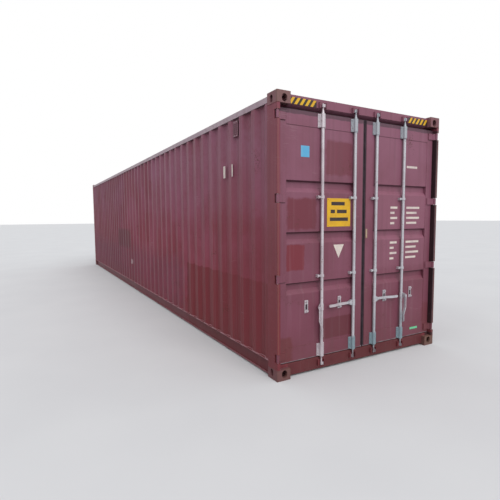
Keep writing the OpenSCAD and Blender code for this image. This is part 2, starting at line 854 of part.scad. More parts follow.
module lock_bar() {
    slot = handle_thickness / 2 + running_clearance;
    translate([0, 0, bar_base]) cylinder(r = bar_radius, h = bar_end - bar_base);
    translate([0, 0, bar_end]) cylinder(r1 = bar_radius, r2 = neck_radius, h = top_cone);
    neck_length = top_keeper_z + keeper_height - neck_end - bar_end;
    translate([0, 0, bar_end]) cylinder(r = neck_radius, h = neck_length);
    translate([0, 0, top_keeper_z + claw_seat]) claw();
    translate([0, 0, bar_base - foot_cone]) cylinder(r1 = neck_radius, r2 = bar_radius, h = foot_cone);
    translate([0, 0, low_keeper_z]) cylinder(r = neck_radius, h = bar_base - low_keeper_z);
    translate([0, 0, low_keeper_z + claw_seat]) claw();
    translate([0, 0, hub_height - hub_half_height]) cylinder(r = hub_radius, h = 2 * hub_half_height);
    for (x = [-slot - cheek_thickness, slot])
        translate([x - handle_setback, 0, hub_height]) handle_cheek();
    pin_half = slot + cheek_thickness + pin_head;
    translate([-handle_setback - pin_half, pivot_reach, hub_height]) rotate([0, 90, 0])
        cylinder(r = pivot_pin_radius, h = 2 * pin_half);
}

// A handle that points along +y from the bar's axis, then hangs or lies by turning about its pivot.
// It runs close to the door as far as its retainer, then bends out to a grip with a round end.
bend_start = 146;
bend_length = 84;
module through_flat(x, y, r, h) {
    translate([x, y, 0]) rotate([0, 90, 0]) cylinder(r = r, h = h);
}
module handle_bar() {
    root = -handle_setback - handle_thickness / 2;
    grip = handle_offset - handle_thickness / 2;
    tip = handle_reach - eye_radius;
    path = [[root, pivot_reach], [root, pivot_reach + bend_start],
            [grip, pivot_reach + bend_start + bend_length], [grip, tip]];
    difference() {
        union() {
            through_flat(root, pivot_reach, eye_radius, handle_thickness);
            prism(sheet_outline(path, -handle_thickness), -handle_width / 2, handle_width / 2);
            through_flat(grip, tip, eye_radius, handle_thickness);
        }
        through_flat(root - 1, pivot_reach, pivot_pin_radius + running_clearance, handle_thickness + 2);
    }
}
module handle(drop) {
    translate([0, pivot_reach, hub_height]) rotate([-drop, 0, 0])
        translate([0, -pivot_reach, 0]) handle_bar();
}
module on_bar(y, turn) {
    translate([hl - bar_inset, y, 0]) rotate(-turn) children();
}
module left_outer_lock_bar() {
    color(bare_steel) right_side() on_bar(outer_bar_y, left_outer_turn) lock_bar();
}
module left_inner_lock_bar() {
    color(bare_steel) right_side() on_bar(inner_bar_y, 0) lock_bar();
}
module right_inner_lock_bar() {
    color(bare_steel) on_bar(inner_bar_y, 0) lock_bar();
}
module right_outer_lock_bar() {
    color(bare_steel) on_bar(outer_bar_y, right_outer_turn) lock_bar();
}
module left_outer_handle() {
    color(bare_steel) right_side() on_bar(outer_bar_y, left_outer_turn) handle(90);
}
module left_inner_handle() {
    color(bare_steel) right_side() on_bar(inner_bar_y, 0) handle(0);
}
module right_inner_handle() {
    color(bare_steel) on_bar(inner_bar_y, 0) handle(0);
}
module right_outer_handle() {
    color(bare_steel) on_bar(outer_bar_y, right_outer_turn) handle(90);
}

// Cam keepers: forged channels with chamfered cheeks, open outwards
keeper_half_width = 46;
keeper_plate = 3;
keeper_cheek = 12;
keeper_depth = 30;
keeper_chamfer = 6;
module cam_keeper(y, z) {
    x = hl - beam_face;
    tip = x + keeper_depth;
    room = keeper_half_width - keeper_cheek;
    half = [[x, 0], [x, keeper_half_width], [tip - keeper_chamfer, keeper_half_width],
            [tip, keeper_half_width - keeper_chamfer], [tip, room], [x + keeper_plate, room],
            [x + keeper_plate, 0]];
    translate([0, y, 0]) both_sides() prism(half, z, z + keeper_height);
}
module cam_keepers(z) {
    both_sides() for (y = [outer_bar_y, inner_bar_y]) cam_keeper(y, z);
}
module top_cam_keepers() {
    color(maroon) cam_keepers(top_keeper_z);
}
module bottom_cam_keepers() {
    color(maroon) cam_keepers(low_keeper_z);
}

corner_fittings_door_end_bottom();
corner_fittings_door_end_top();
corner_fittings_front_end_bottom();
corner_fittings_front_end_top();
left_door_post();
right_door_post();
front_corner_posts();
top_side_rails();
bottom_side_rails();
door_header();
door_sill();
door_beam_ends();
front_header();
front_sill();
left_side_wall();
right_side_wall();
front_wall();
roof_panel();
floor_boards();
cross_members();
gooseneck_tunnel();
top_cam_keepers();
bottom_cam_keepers();
side_ventilators();
hinge_pins();
left_door_frame();
left_door_panel();
left_door_seal();
left_door_hinge_blades();
left_door_bar_brackets();
left_door_handle_retainers();
right_door_frame();
right_door_panel();
right_door_seal();
right_door_hinge_blades();
right_door_bar_brackets();
right_door_handle_retainers();
left_outer_lock_bar();
left_inner_lock_bar();
right_inner_lock_bar();
right_outer_lock_bar();
left_outer_handle();
left_inner_handle();
right_inner_handle();
right_outer_handle();
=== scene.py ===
"""Finishes and fine parts of a forty foot steel shipping container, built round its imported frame.

Lengths are in metres in the row frame: +X towards the doors, +Z up, the left door on the -Y side.
"""

from __future__ import annotations

import logging
import math
from collections.abc import Callable
from dataclasses import dataclass, field
from enum import Enum
from functools import cache, partial

import bmesh
import bpy
from mathutils import Matrix, Vector, noise


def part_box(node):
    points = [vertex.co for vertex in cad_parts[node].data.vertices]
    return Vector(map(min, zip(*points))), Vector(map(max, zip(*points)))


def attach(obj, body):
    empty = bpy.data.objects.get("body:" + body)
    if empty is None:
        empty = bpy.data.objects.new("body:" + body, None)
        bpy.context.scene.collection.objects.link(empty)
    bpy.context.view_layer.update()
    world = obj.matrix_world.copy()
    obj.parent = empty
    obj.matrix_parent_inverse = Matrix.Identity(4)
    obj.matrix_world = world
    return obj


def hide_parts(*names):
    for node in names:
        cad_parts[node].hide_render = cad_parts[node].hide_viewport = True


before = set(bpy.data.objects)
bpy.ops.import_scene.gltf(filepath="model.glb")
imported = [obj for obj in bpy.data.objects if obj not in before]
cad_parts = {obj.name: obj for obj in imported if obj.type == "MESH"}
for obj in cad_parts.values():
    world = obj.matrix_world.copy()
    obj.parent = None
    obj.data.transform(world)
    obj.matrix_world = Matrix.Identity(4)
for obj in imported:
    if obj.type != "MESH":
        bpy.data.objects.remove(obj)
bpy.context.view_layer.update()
LOG = logging.getLogger("container")
MM = 0.001

Colour = tuple[float, float, float, float]
Point = tuple[float, float, float]
Spot = tuple[float, float]
Socket = bpy.types.NodeSocket

RGB = {"data_type": "RGBA"}
TINT = {"data_type": "RGBA", "blend_type": "MULTIPLY"}
SMOOTH = {"interpolation_type": "SMOOTHSTEP"}
TIMES = {"operation": "MULTIPLY"}
LARGER = {"operation": "MAXIMUM"}
ABSOLUTE = {"operation": "ABSOLUTE"}
DOT = {"operation": "DOT_PRODUCT"}
# The output that is meant where it isn't a node's first one
MAIN_OUTPUT = {"Mix": 2, "VectorMath": "Value", "TexCoord": "Object", "TexVoronoi": "Color", "NewGeometry": "Normal"}


def linear(hex_colour: str) -> Colour:
    """Turn an sRGB hex colour into linear values.

    Args:
        hex_colour: six hex digits, such as "8a5864".

    Returns:
        Red, green and blue, linear, and an alpha of 1.
    """
    channels = [int(hex_colour[i : i + 2], 16) / 255 for i in (0, 2, 4)]
    red, green, blue = (c / 12.92 if c <= 0.04045 else ((c + 0.055) / 1.055) ** 2.4 for c in channels)
    return red, green, blue, 1.0


class Graph:
    """The node tree of a material or the world, with one way to add a node."""

    def __init__(self, owner: bpy.types.Material | bpy.types.World) -> None:
        """Clear the owner's tree.

        Args:
            owner: the material or the world.
        """
        owner.use_nodes = True
        self.owner = owner
        self.tree = owner.node_tree
        self.tree.nodes.clear()
        self.place = self.add("TexCoord")

    def add(self, kind: str, settings: dict | None = None, out: str | int | None = None,
            **inputs: object) -> Socket | None:
        """Add a node, with its settings and its links.

        Args:
            kind: the node's type, without its ShaderNode prefix.
            settings: attributes to set on the node.
            out: the output that is wanted, if not the main one.
            inputs: a value or an output for each input. An input is named by its words joined by
                underscores, or by i and its index. A texture without a Vector lies in the row frame.

        Returns:
            The output, or nothing where the node has none.
        """
        node = self.tree.nodes.new("ShaderNode" + kind)
        if kind in ("TexNoise", "TexVoronoi"):
            inputs.setdefault("Vector", self.place)
        for key, value in (settings or {}).items():
            setattr(node, key, value)
        for key, value in inputs.items():
            index = int(key[1:]) if key[0] == "i" and key[1:].isdigit() else key.replace("_", " ")
            if isinstance(value, Socket):
                self.tree.links.new(value, node.inputs[index])
            else:
                node.inputs[index].default_value = value
        return node.outputs[MAIN_OUTPUT.get(kind, 0) if out is None else out] if node.outputs else None

    def seen(self) -> Socket:
        """Pick out the rays that see the background: the camera's, and those of mirrors and glass.

        Returns:
            1 for such a ray, or else 0.
        """
        rays = self.add("LightPath").node.outputs
        mirrored = self.add("Math", LARGER, i0=rays["Is Camera Ray"], i1=rays["Is Glossy Ray"])
        return self.add("Math", LARGER, i0=mirrored, i1=rays["Is Transmission Ray"])


@dataclass(frozen=True)
class Patch:
    """A box of the row frame painted another colour, with a ragged edge: touched-up or worn paint, and in places
    painted shade or a painted highlight.
    """

    low: Point
    high: Point
    colour: str
    strength: float = 0.85
    blur: float = 0.008
    ragged: float = 0.012
    # The way that the painted face looks, or nothing for every face, and whether both sides have it
    facing: Point | None = None
    mirrored: bool = False

    def lay(self, g: Graph, colour: Socket) -> Socket:
        """Lay the patch over a colour.

        Args:
            g: the node tree.
            colour: the colour so far.

        Returns:
            The colour with the patch on it.
        """
        swing = self.ragged + self.blur
        shift = g.add("MapRange", Value=g.add("TexNoise", Scale=14.0, Detail=4.0), To_Min=-swing, To_Max=swing)
        inside: Socket | float = self.strength
        if self.facing:
            toward = g.add("VectorMath", DOT, i0=g.add("TexCoord", out="Normal"), i1=self.facing)
            inside = g.add("MapRange", Value=toward, From_Min=-0.3, From_Max=0.0, To_Max=self.strength)
        spots = list(g.add("SeparateXYZ", Vector=g.place).node.outputs)
        if self.mirrored:
            spots[1] = g.add("Math", ABSOLUTE, i0=spots[1])
        for spot, low, high in zip(spots, self.low, self.high):
            half = (high - low) / 2
            at = g.add("Math", i0=spot, i1=shift)
            away = g.add("Math", ABSOLUTE, i0=g.add("Math", i0=at, i1=-(low + high) / 2))
            near = g.add("MapRange", SMOOTH, Value=away, From_Min=half + self.blur, From_Max=half - self.blur)
            inside = g.add("Math", TIMES, i0=inside, i1=near)
        return g.add("Mix", RGB, i0=inside, i6=colour, i7=linear(self.colour))


@dataclass(frozen=True)
class Coat:
    """What every finish has: a name, and two colours that it wavers between."""

    name: str
    paint: str
    faded: str

    def build(self) -> bpy.types.Material:
        """Make the finish's material.

        Returns:
            The material, coloured by place in the row frame.
        """
        g = Graph(bpy.data.materials.new(self.name))
        g.add("OutputMaterial", Surface=self.shade(g))
        return g.owner

    def shade(self, g: Graph) -> Socket:
        """Shade the surface, in the way that each finish has.

        Args:
            g: the node tree.

        Returns:
            The shader's output.
        """
        raise NotImplementedError


@dataclass(frozen=True)
class Painted(Coat):
    """Corten steel under sprayed alkyd paint: satin where new, chalked paler and streaked by rain with age."""

    grime: str
    rust: str = "6b4030"
    # How much of each colour is left near the ground: darker and redder towards the bottom, as road dirt and as
    # painted shade of the dark ground
    film: Point = (0.75, 0.62, 0.62)
    patches: tuple[Patch, ...] = ()
    roughness: float = 0.5
    specular: float = 0.5
    edge_wear: float = 0.6
    edge_mm: float = 7.0
    # How dark the faces that look downwards are painted: painted shade under overhangs
    under: float = 0.8
    streak: float = 0.32
    chips: float = 0.8
    # Uneven chalking, rain streaks, chips, scuffs, shallow dents and the gun's texture, as real sizes
    cloud_mm: float = 900.0
    streak_mm: float = 60.0
    speck_mm: float = 14.0
    scuff_mm: float = 9.0
    dent_mm: float = 420.0
    orange_peel_mm: float = 5.0

    def shade(self, g: Graph) -> Socket:
        """Shade the paint: its colour, painted shade on its undersides, the rust where it has gone, its dents and
        its texture.

        Args:
            g: the node tree.

        Returns:
            The shader's output.
        """
        cloud = g.add("TexNoise", Scale=1000 / self.cloud_mm, Detail=6.0, Roughness=0.62)
        faded = g.add("MapRange", SMOOTH, Value=cloud, From_Min=0.34, From_Max=0.66)
        colour = g.add("Mix", RGB, i0=faded, i6=linear(self.paint), i7=linear(self.faded))
        height = g.add("SeparateXYZ", out="Z", Vector=g.place)
        # Darker and redder towards the ground: road dirt, with painted shade of the dark ground
        low = g.add("MapRange", Value=height, From_Min=2.5, From_Max=0.2)
        colour = g.add("Mix", TINT, i0=low, i6=colour, i7=(*self.film, 1.0))
        # Faces that look downwards are darkened: painted shade under overhangs
        down = g.add("SeparateXYZ", out="Z", Vector=g.add("NewGeometry"))
        under = g.add("MapRange", Value=down, From_Min=-0.1, From_Max=-0.6, To_Max=self.under)
        colour = g.add("Mix", TINT, i0=under, i6=colour, i7=(0.25, 0.2, 0.22, 1.0))
        for patch in self.patches:
            colour = patch.lay(g, colour)
        colour = self.weather(g, height, colour)
        worn = self.wear(g)
        rust_tone = g.add("TexNoise", Scale=120.0, Detail=4.0)
        rust = g.add("Mix", RGB, i0=rust_tone, i6=linear("3b2420"), i7=linear(self.rust))
        colour = g.add("Mix", RGB, i0=worn, i6=colour, i7=rust)
        dent = g.add("TexNoise", Scale=1000 / self.dent_mm, Detail=1.5)
        peel = g.add("TexNoise", Scale=1000 / self.orange_peel_mm, Detail=2.0)
        broad = g.add("Bump", Strength=0.35, Distance=6 * MM, Height=dent)
        fine = g.add("Bump", Strength=0.15, Distance=0.5 * MM, Height=peel, Normal=broad)
        chipped = g.add("Bump", {"invert": True}, Strength=0.5, Distance=0.6 * MM, Height=worn, Normal=fine)
        rough = g.add("MapRange", Value=cloud, To_Min=self.roughness - 0.1, To_Max=self.roughness + 0.18)
        rough = g.add("Math", LARGER, i0=rough, i1=worn)
        return g.add("BsdfPrincipled", Base_Color=colour, Roughness=rough, Specular_IOR_Level=self.specular,
                     Normal=chipped)

    def weather(self, g: Graph, height: Socket, colour: Socket) -> Socket:
        """Add rain streaks, pale scuffs and road dirt near the ground.

        Args:
            g: the node tree.
            height: the height in the row frame.
            colour: the colour so far.

        Returns:
            The weathered colour.
        """
        for stretch, size, tone, amount, low in ((0.05, self.streak_mm, self.grime, self.streak, 0.50),
                                                 (0.03, self.streak_mm * 0.7, "a98790", 0.16, 0.56)):
            drawn = g.add("Mapping", Vector=g.place, Scale=(1.0, 1.0, stretch))
            lines = g.add("TexNoise", Vector=drawn, Scale=1000 / size, Detail=4.0)
            run = g.add("MapRange", Value=lines, From_Min=low, From_Max=low + 0.26, To_Max=amount)
            colour = g.add("Mix", RGB, i0=run, i6=colour, i7=linear(tone))
        drawn = g.add("Mapping", Vector=g.place, Scale=(0.08, 0.08, 1.0))
        rubbed = g.add("TexNoise", Vector=drawn, Scale=1000 / self.scuff_mm, Detail=3.0)
        both = g.add("Math", TIMES, i0=rubbed, i1=g.add("TexNoise", Scale=2.4, Detail=3.0))
        scuff = g.add("MapRange", Value=both, From_Min=0.40, From_Max=0.46, To_Max=0.2)
        colour = g.add("Mix", RGB, i0=scuff, i6=colour, i7=linear("b59aa0"))
        splash = g.add("TexNoise", Scale=7.0, Detail=6.0, Roughness=0.7)
        low = g.add("MapRange", Value=height, From_Min=0.75, From_Max=0.0)
        mud = g.add("MapRange", Value=g.add("Math", TIMES, i0=low, i1=splash), From_Min=0.18, From_Max=0.62,
                    To_Max=0.35)
        return g.add("Mix", RGB, i0=mud, i6=colour, i7=linear("6b4844"))

    def wear(self, g: Graph) -> Socket:
        """Find where the paint has gone: along edges and in scattered chips.

        Args:
            g: the node tree.

        Returns:
            A mask from 0, whole paint, to 1, rust.
        """
        rounded = g.add("Bevel", {"samples": 4}, Radius=self.edge_mm * MM)
        facing = g.add("VectorMath", DOT, i0=g.add("NewGeometry"), i1=rounded)
        edge = g.add("MapRange", Value=facing, From_Min=0.995, From_Max=0.90)
        speck = g.add("TexNoise", Scale=1000 / self.speck_mm, Detail=6.0, Roughness=0.7)
        both = g.add("Math", TIMES, i0=speck, i1=g.add("TexNoise", Scale=3.1, Detail=3.0))
        on_edge = g.add("MapRange", Value=both, From_Min=0.20, From_Max=0.32, To_Max=self.edge_wear)
        chips = g.add("MapRange", Value=both, From_Min=0.385, From_Max=0.42, To_Max=self.chips)
        return g.add("Math", LARGER, i0=g.add("Math", TIMES, i0=on_edge, i1=edge), i1=chips)


@dataclass(frozen=True)
class Zinc(Coat):
    """Hot dip galvanised steel: dull crystals, pinkish grey under a film of road dust."""

    rust: str = "7a5140"
    patches: tuple[Patch, ...] = ()
    metallic: float = 0.45
    roughness: float = 0.5
    # Zinc crystals, drawn a little larger than the real 5 mm so that they show
    crystal_mm: float = 9.0

    def shade(self, g: Graph) -> Socket:
        """Shade the zinc: its crystals, the dust on it and the first rust.

        Args:
            g: the node tree.

        Returns:
            The shader's output.
        """
        crystal = g.add("TexVoronoi", Scale=1000 / self.crystal_mm)
        dusty = g.add("MapRange", Value=g.add("TexNoise", Scale=6.0, Detail=5.0), From_Min=0.35, From_Max=0.7)
        colour = g.add("Mix", RGB, i0=dusty, i6=linear(self.paint), i7=linear(self.faded))
        for patch in self.patches:
            colour = patch.lay(g, colour)
        spangle = g.add("MapRange", Value=crystal, To_Min=0.85, To_Max=1.1)
        colour = g.add("Mix", TINT, i0=0.7, i6=colour, i7=spangle)
        pits = g.add("TexNoise", Scale=45.0, Detail=6.0, Roughness=0.7)
        spots = g.add("MapRange", Value=pits, From_Min=0.60, From_Max=0.68, To_Max=0.85)
        colour = g.add("Mix", RGB, i0=spots, i6=colour, i7=linear(self.rust))
        rough = g.add("MapRange", Value=crystal, To_Min=self.roughness - 0.1, To_Max=self.roughness + 0.15)
        bump = g.add("Bump", Strength=0.25, Distance=0.4 * MM, Height=pits)
        return g.add("BsdfPrincipled", Base_Color=colour, Metallic=self.metallic, Roughness=rough, Normal=bump)


@dataclass(frozen=True)
class Soft(Coat):
    """Extruded rubber, moulded plastic or cast vinyl film: one colour, greyed by dust and finely rough."""

    roughness: float = 0.7
    soiling: float = 0.6
    grain_mm: float = 3.0

    def shade(self, g: Graph) -> Socket:
        """Shade the rubber, plastic or film: dust, fine scratches and grain.

        Args:
            g: the node tree.

        Returns:
            The shader's output.
        """
        colour: Socket | Colour = linear(self.paint)
        for scale, detail, rough, low, high in ((11.0, 6.0, 0.65, 0.4, 0.72), (160.0, 4.0, 0.5, 0.62, 0.68)):
            cloud = g.add("TexNoise", Scale=scale, Detail=detail, Roughness=rough)
            amount = g.add("MapRange", Value=cloud, From_Min=low, From_Max=high, To_Max=self.soiling)
            colour = g.add("Mix", RGB, i0=amount, i6=colour, i7=linear(self.faded))
        grain = g.add("TexNoise", Scale=1000 / self.grain_mm)
        bump = g.add("Bump", Strength=0.3, Distance=0.3 * MM, Height=grain)
        return g.add("BsdfPrincipled", Base_Color=colour, Roughness=self.roughness, Normal=bump)


@dataclass(frozen=True)
class Plywood(Coat):
    """Keruing plywood floor: reddish veneer with long grain, scuffed pale by pallets."""

    grain_mm: float = 12.0

    def shade(self, g: Graph) -> Socket:
        """Shade the veneer: its grain along the container, and the scuffs on it.

        Args:
            g: the node tree.

        Returns:
            The shader's output.
        """
        drawn = g.add("Mapping", Vector=g.place, Scale=(0.04, 1.0, 1.0))
        grain = g.add("TexNoise", Vector=drawn, Scale=1000 / self.grain_mm, Detail=6.0)
        both = g.add("Math", TIMES, i0=grain, i1=g.add("TexNoise", Scale=2.2, Detail=5.0))
        amount = g.add("MapRange", Value=both, From_Min=0.15, From_Max=0.36)
        colour = g.add("Mix", RGB, i0=amount, i6=linear(self.paint), i7=linear(self.faded))
        bump = g.add("Bump", Strength=0.3, Distance=0.5 * MM, Height=grain)
        return g.add("BsdfPrincipled", Base_Color=colour, Roughness=0.65, Normal=bump)


def outward(*rows: tuple) -> tuple[Patch, ...]:
    """Make the patches of the doors' outer faces.

    Args:
        rows: lowest y and z, highest y and z, colour, and then strength, blur and ragged where they differ.

    Returns:
        The patches.
    """
    return tuple(Patch((5.9, *row[:2]), (6.2, *row[2:4]), *row[4:], facing=(1.0, 0.0, 0.0)) for row in rows)


def leftward(*rows: tuple) -> tuple[Patch, ...]:
    """Make the patches of the left wall's outer face.

    Args:
        rows: lowest x and z, highest x and z, colour, strength and blur.

    Returns:
        The patches.
    """
    return tuple(Patch((row[0], -1.3, row[1]), (row[2], -1.1, row[3]), *row[4:], facing=(0.0, -1.0, 0.0))
                 for row in rows)


class Finish(Enum):
    """The finishes of the container's pieces. Those with patches are worn where the real one is, and some patches
    are painted shade and painted highlights.
    """

    DOOR = Painted("door_alkyd_paint", "844d5f", "905a6f", "6a4149", film=(0.72, 0.5, 0.52), patches=outward(
        (-1.066, 1.119, -0.844, 1.382, "7a2733", 0.92),
        (-1.062, 1.540, -0.690, 1.865, "712c3a", 0.92, 0.02),
        (-0.600, 0.330, -0.150, 0.560, "62252f"),
        (-0.560, 2.120, -0.190, 2.480, "743341", 0.8, 0.02),
        (-1.180, 0.160, -1.000, 0.420, "6e3035", 0.9, 0.02),
        (0.150, 1.050, 1.100, 2.050, "a0687c", 0.30, 0.06),
        (1.060, 0.160, 1.180, 0.560, "6e3035", 0.6, 0.03),
        (0.026, 0.160, 0.147, 0.900, "733e49", 0.6, 0.05),
        # Painted shade along the doors' tops, under the header
        (-1.180, 2.706, 1.180, 2.760, "4a3540", 0.75, 0.006, 0.004),
    ) + (Patch((6.03, -1.180, 0.160), (6.05, -1.166, 2.745), "a07358", 0.75, 0.004, facing=(1.0, 0.0, 0.0)),))
    SIDE = Painted("side_alkyd_paint", "824150", "90566b", "5f3339", film=(1.08, 0.55, 0.51), specular=0.3,
                   patches=leftward(
        (3.46, 0.0, 5.95, 0.98, "772c32", 0.85, 0.012),
        (4.70, 0.0, 5.95, 1.25, "7b333c", 0.65, 0.16),
        (5.35, 1.1, 5.95, 1.70, "7b333c", 0.5, 0.16),
        (-6.50, 0.0, 3.40, 1.00, "684254", 0.6, 0.25),
        (1.60, 1.75, 6.10, 2.75, "a06f85", 0.3, 0.25),
        (1.60, 2.25, 6.10, 2.75, "a06f85", 0.35, 0.25),
        (-6.50, 0.0, -0.90, 3.00, "5b3c4d", 0.4, 0.5),
        (-0.31, 0.60, -0.21, 0.70, "cdb9bd", 0.8, 0.02),
        (-1.85, 0.95, -0.35, 1.40, "5c3a3e", 0.6, 0.06),
        (-6.50, 0.0, 0.50, 1.30, "73404f", 0.5, 0.5),
    ) + (
        # Painted shade on the bottom rails' webs, and painted highlights along their flange edges
        Patch((-6.0, 1.150, 0.022), (6.0, 1.180, 0.168), "55272f", 0.45, 0.004, 0.003, mirrored=True),
        Patch((-6.0, 1.205, 0.164), (6.0, 1.300, 0.188), "a87e86", 0.7, 0.003, 0.006, mirrored=True),
        Patch((-6.0, 1.176, 0.000), (6.0, 1.210, 0.026), "a87e86", 0.8, 0.002, 0.003, mirrored=True),
    ))
    # The frame's undersides take less painted shade than the walls' and the doors'
    FRAME = Painted("frame_alkyd_paint", "843e4e", "8f4c59", "5e3b40", film=(0.78, 0.54, 0.51), specular=0.3,
                    edge_wear=0.9, under=0.45, patches=(
        Patch((5.90, -1.3, 0.10), (6.2, -1.1, 1.60), "782f34", 0.7, 0.3),
        # The right post, in painted shade: its face darker, its inner side near black, its foot black in the gap
        # above the fitting, and its outer edge a darker brown
        Patch((5.98, 1.15, 0.20), (6.2, 1.205, 2.74), "4a3238", 0.85, 0.006),
        Patch((5.98, 1.15, 0.24), (6.2, 1.190, 2.72), "2a1d21", 0.95, 0.004),
        Patch((5.98, 1.12, 0.120), (6.2, 1.21, 0.160), "2a1d21", 0.9, 0.006),
        Patch((6.05, 1.203, 0.15), (6.2, 1.23, 2.75), "6a5048", 0.8, 0.004),
        Patch((6.085, -1.212, 0.20), (6.2, -1.199, 2.74), "8c6454", 0.4, 0.003, 0.004),
        Patch((6.0, -1.04, 2.70), (6.2, 1.04, 2.92), "906072", 0.8, 0.012),
    ))
    RAIL = Painted("weathered_rail_paint", "b096a2", "bfa9b2", "6a4d4a", edge_wear=0.9, streak=0.3)
    CASTING = Painted("cast_fitting_paint", "7b4d57", "8a5e63", "5a3c34", rust="86603f", edge_wear=1.0,
                      edge_mm=14.0, chips=1.0, roughness=0.6, dent_mm=60.0, orange_peel_mm=9.0, patches=(
        # Rust brown on the lower right fitting at the door end, darkened further as painted shade
        Patch((5.9, 1.05, 0.0), (6.2, 1.25, 0.13), "6e5143", 0.8, 0.02),
        Patch((6.07, -1.25, 2.78), (6.2, -1.05, 2.90), "7d5f55", 0.5, 0.02),
        Patch((6.07, -1.25, 0.0), (6.2, -1.05, 0.12), "74504a", 0.5, 0.02),
    ))
    SILL = Painted("sill_alkyd_paint", "6c3139", "7a3f46", "55292f", edge_wear=0.9, specular=0.25)
    # The weld bead at the walls' foot: its pale colour is a painted highlight
    BEAD_HIGHLIGHT = Painted("weld_bead_highlight_paint", "b58c96", "c49ea6", "6a4d4a", film=(1.0, 0.9, 0.9), specular=0.3)
    # Gone blue-green by the ground, soiled on the cams, and darker on the upper brackets
    ZINC = Zinc("hot_dip_galvanised_steel", "d6cfd4", "c0b4ba", patches=(
        Patch((6.0, -0.26, 0.10), (6.2, 0.75, 2.90), "c0c6cc", 0.5, 0.02),
        Patch((6.0, -0.26, 0.15), (6.2, 0.75, 0.31), "6f929c", 0.75, 0.02),
        Patch((6.0, 0.05, 0.31), (6.2, 0.75, 0.50), "93a6ae", 0.5, 0.08),
        Patch((6.0, -0.26, 0.00), (6.2, 0.75, 0.135), "6a5f66", 0.7, 0.02),
        Patch((6.0, -0.26, 2.58), (6.2, 0.75, 2.90), "8e98a0", 0.6, 0.03),
    ))
    OCHRE = Zinc("rusted_galvanised_steel", "c0a890", "9a7a60", rust="8a5a38")
    RUBBER = Soft("extruded_epdm_rubber", "2d2129", "553e4a")
    DUSTY = Soft("dusty_epdm_rubber", "7a6a6f", "94878a")
    VENT = Soft("moulded_abs", "8a5c6a", "74505a")
    PLY = Plywood("keruing_plywood", "6e4a35", "a9835f")
    YELLOW = Soft("yellow_vinyl_film", "f0bc22", "d0972e", 0.45)
    BLACK = Soft("black_vinyl_film", "2b211f", "48372f", 0.5)
    WHITE = Soft("white_vinyl_film", "eaded2", "cbb3b8", 0.5, 0.8)
    BLUE = Soft("blue_vinyl_film", "5fb4e0", "8fc4dc", 0.45)
    GREEN = Soft("green_vinyl_film", "6fcf9a", "8cd8ae", 0.45)

    @cache
    def material(self) -> bpy.types.Material:
        """Build the material once, and hand it out from then on."""
        return self.value.build()


# The frame nodes of each finish, by a part of their names. The rest has the frame's paint
FINISH_OF: dict[Finish, tuple[str, ...]] = {
    Finish.SIDE: ("side_wall", "front_wall", "roof_panel", "bottom_side_rails", "cross_members", "gooseneck_tunnel"),
    Finish.RAIL: ("top_side_rails",),
    Finish.CASTING: ("corner_fittings",),
    Finish.SILL: ("door_sill",),
    Finish.PLY: ("floor_boards",),
    Finish.VENT: ("side_ventilators",),
    Finish.RUBBER: ("_door_seal",),
    Finish.ZINC: ("hinge_pins", "_bar_brackets", "_retainers", "_lock_bar", "_handle"),
    Finish.DOOR: ("_door_frame", "_door_panel", "_hinge_blades"),
}
# Nodes whose edges are pressed, cast or forged round, by the radius in millimetres that shows
ROUNDED: dict[float, tuple[str, ...]] = {
    14.0: ("corner_fittings",),
    4.0: ("door_header", "top_side_rails"),
    3.0: ("door_beam_ends", "door_sill", "front_corner_posts", "_door_frame", "side_ventilators"),
    2.0: ("door_post", "_bar_brackets", "_hinge_blades", "cam_keepers"),
    1.5: ("_handle_retainers", "_lock_bar"),
}


def look_up(table: dict, name: str, rest: object) -> object:
    """Find a node's entry in a table.

    Args:
        table: parts of node names, by entry.
        name: the node's name.
        rest: the entry of a node that the table doesn't name.

    Returns:
        The entry.
    """
    return next((entry for entry, parts in table.items() if any(part in name for part in parts)), rest)


def put(name: str, data: bpy.types.ID) -> bpy.types.Object:
    """Put a new object in the scene.

    Args:
        name: its name.
        data: its mesh, camera or light.

    Returns:
        The object.
    """
    made = bpy.data.objects.new(name, data)
    bpy.context.scene.collection.objects.link(made)
    return made


def round_edges(piece: bpy.types.Object, width: float) -> None:
    """Round a piece's sharp edges.

    Args:
        piece: the piece.
        width: width of the rounded edge.
    """
    rounding = piece.modifiers.new("rounded_edges", "BEVEL")
    rounding.width = width
    rounding.segments = 2
    rounding.limit_method = "ANGLE"
    rounding.angle_limit = math.radians(40)
    rounding.harden_normals = False


class PackedFrame:
    """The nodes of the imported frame."""

    def build(self) -> None:
        """Give every node its finish, and round the edges of the steel ones."""
        for name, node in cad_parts.items():
            node.data.materials.clear()
            node.data.materials.append(look_up(FINISH_OF, name, Finish.FRAME).material())
            width = look_up(ROUNDED, name, 0.0)
            if width:
                round_edges(node, width * MM)
            LOG.info("dressed %s", name)


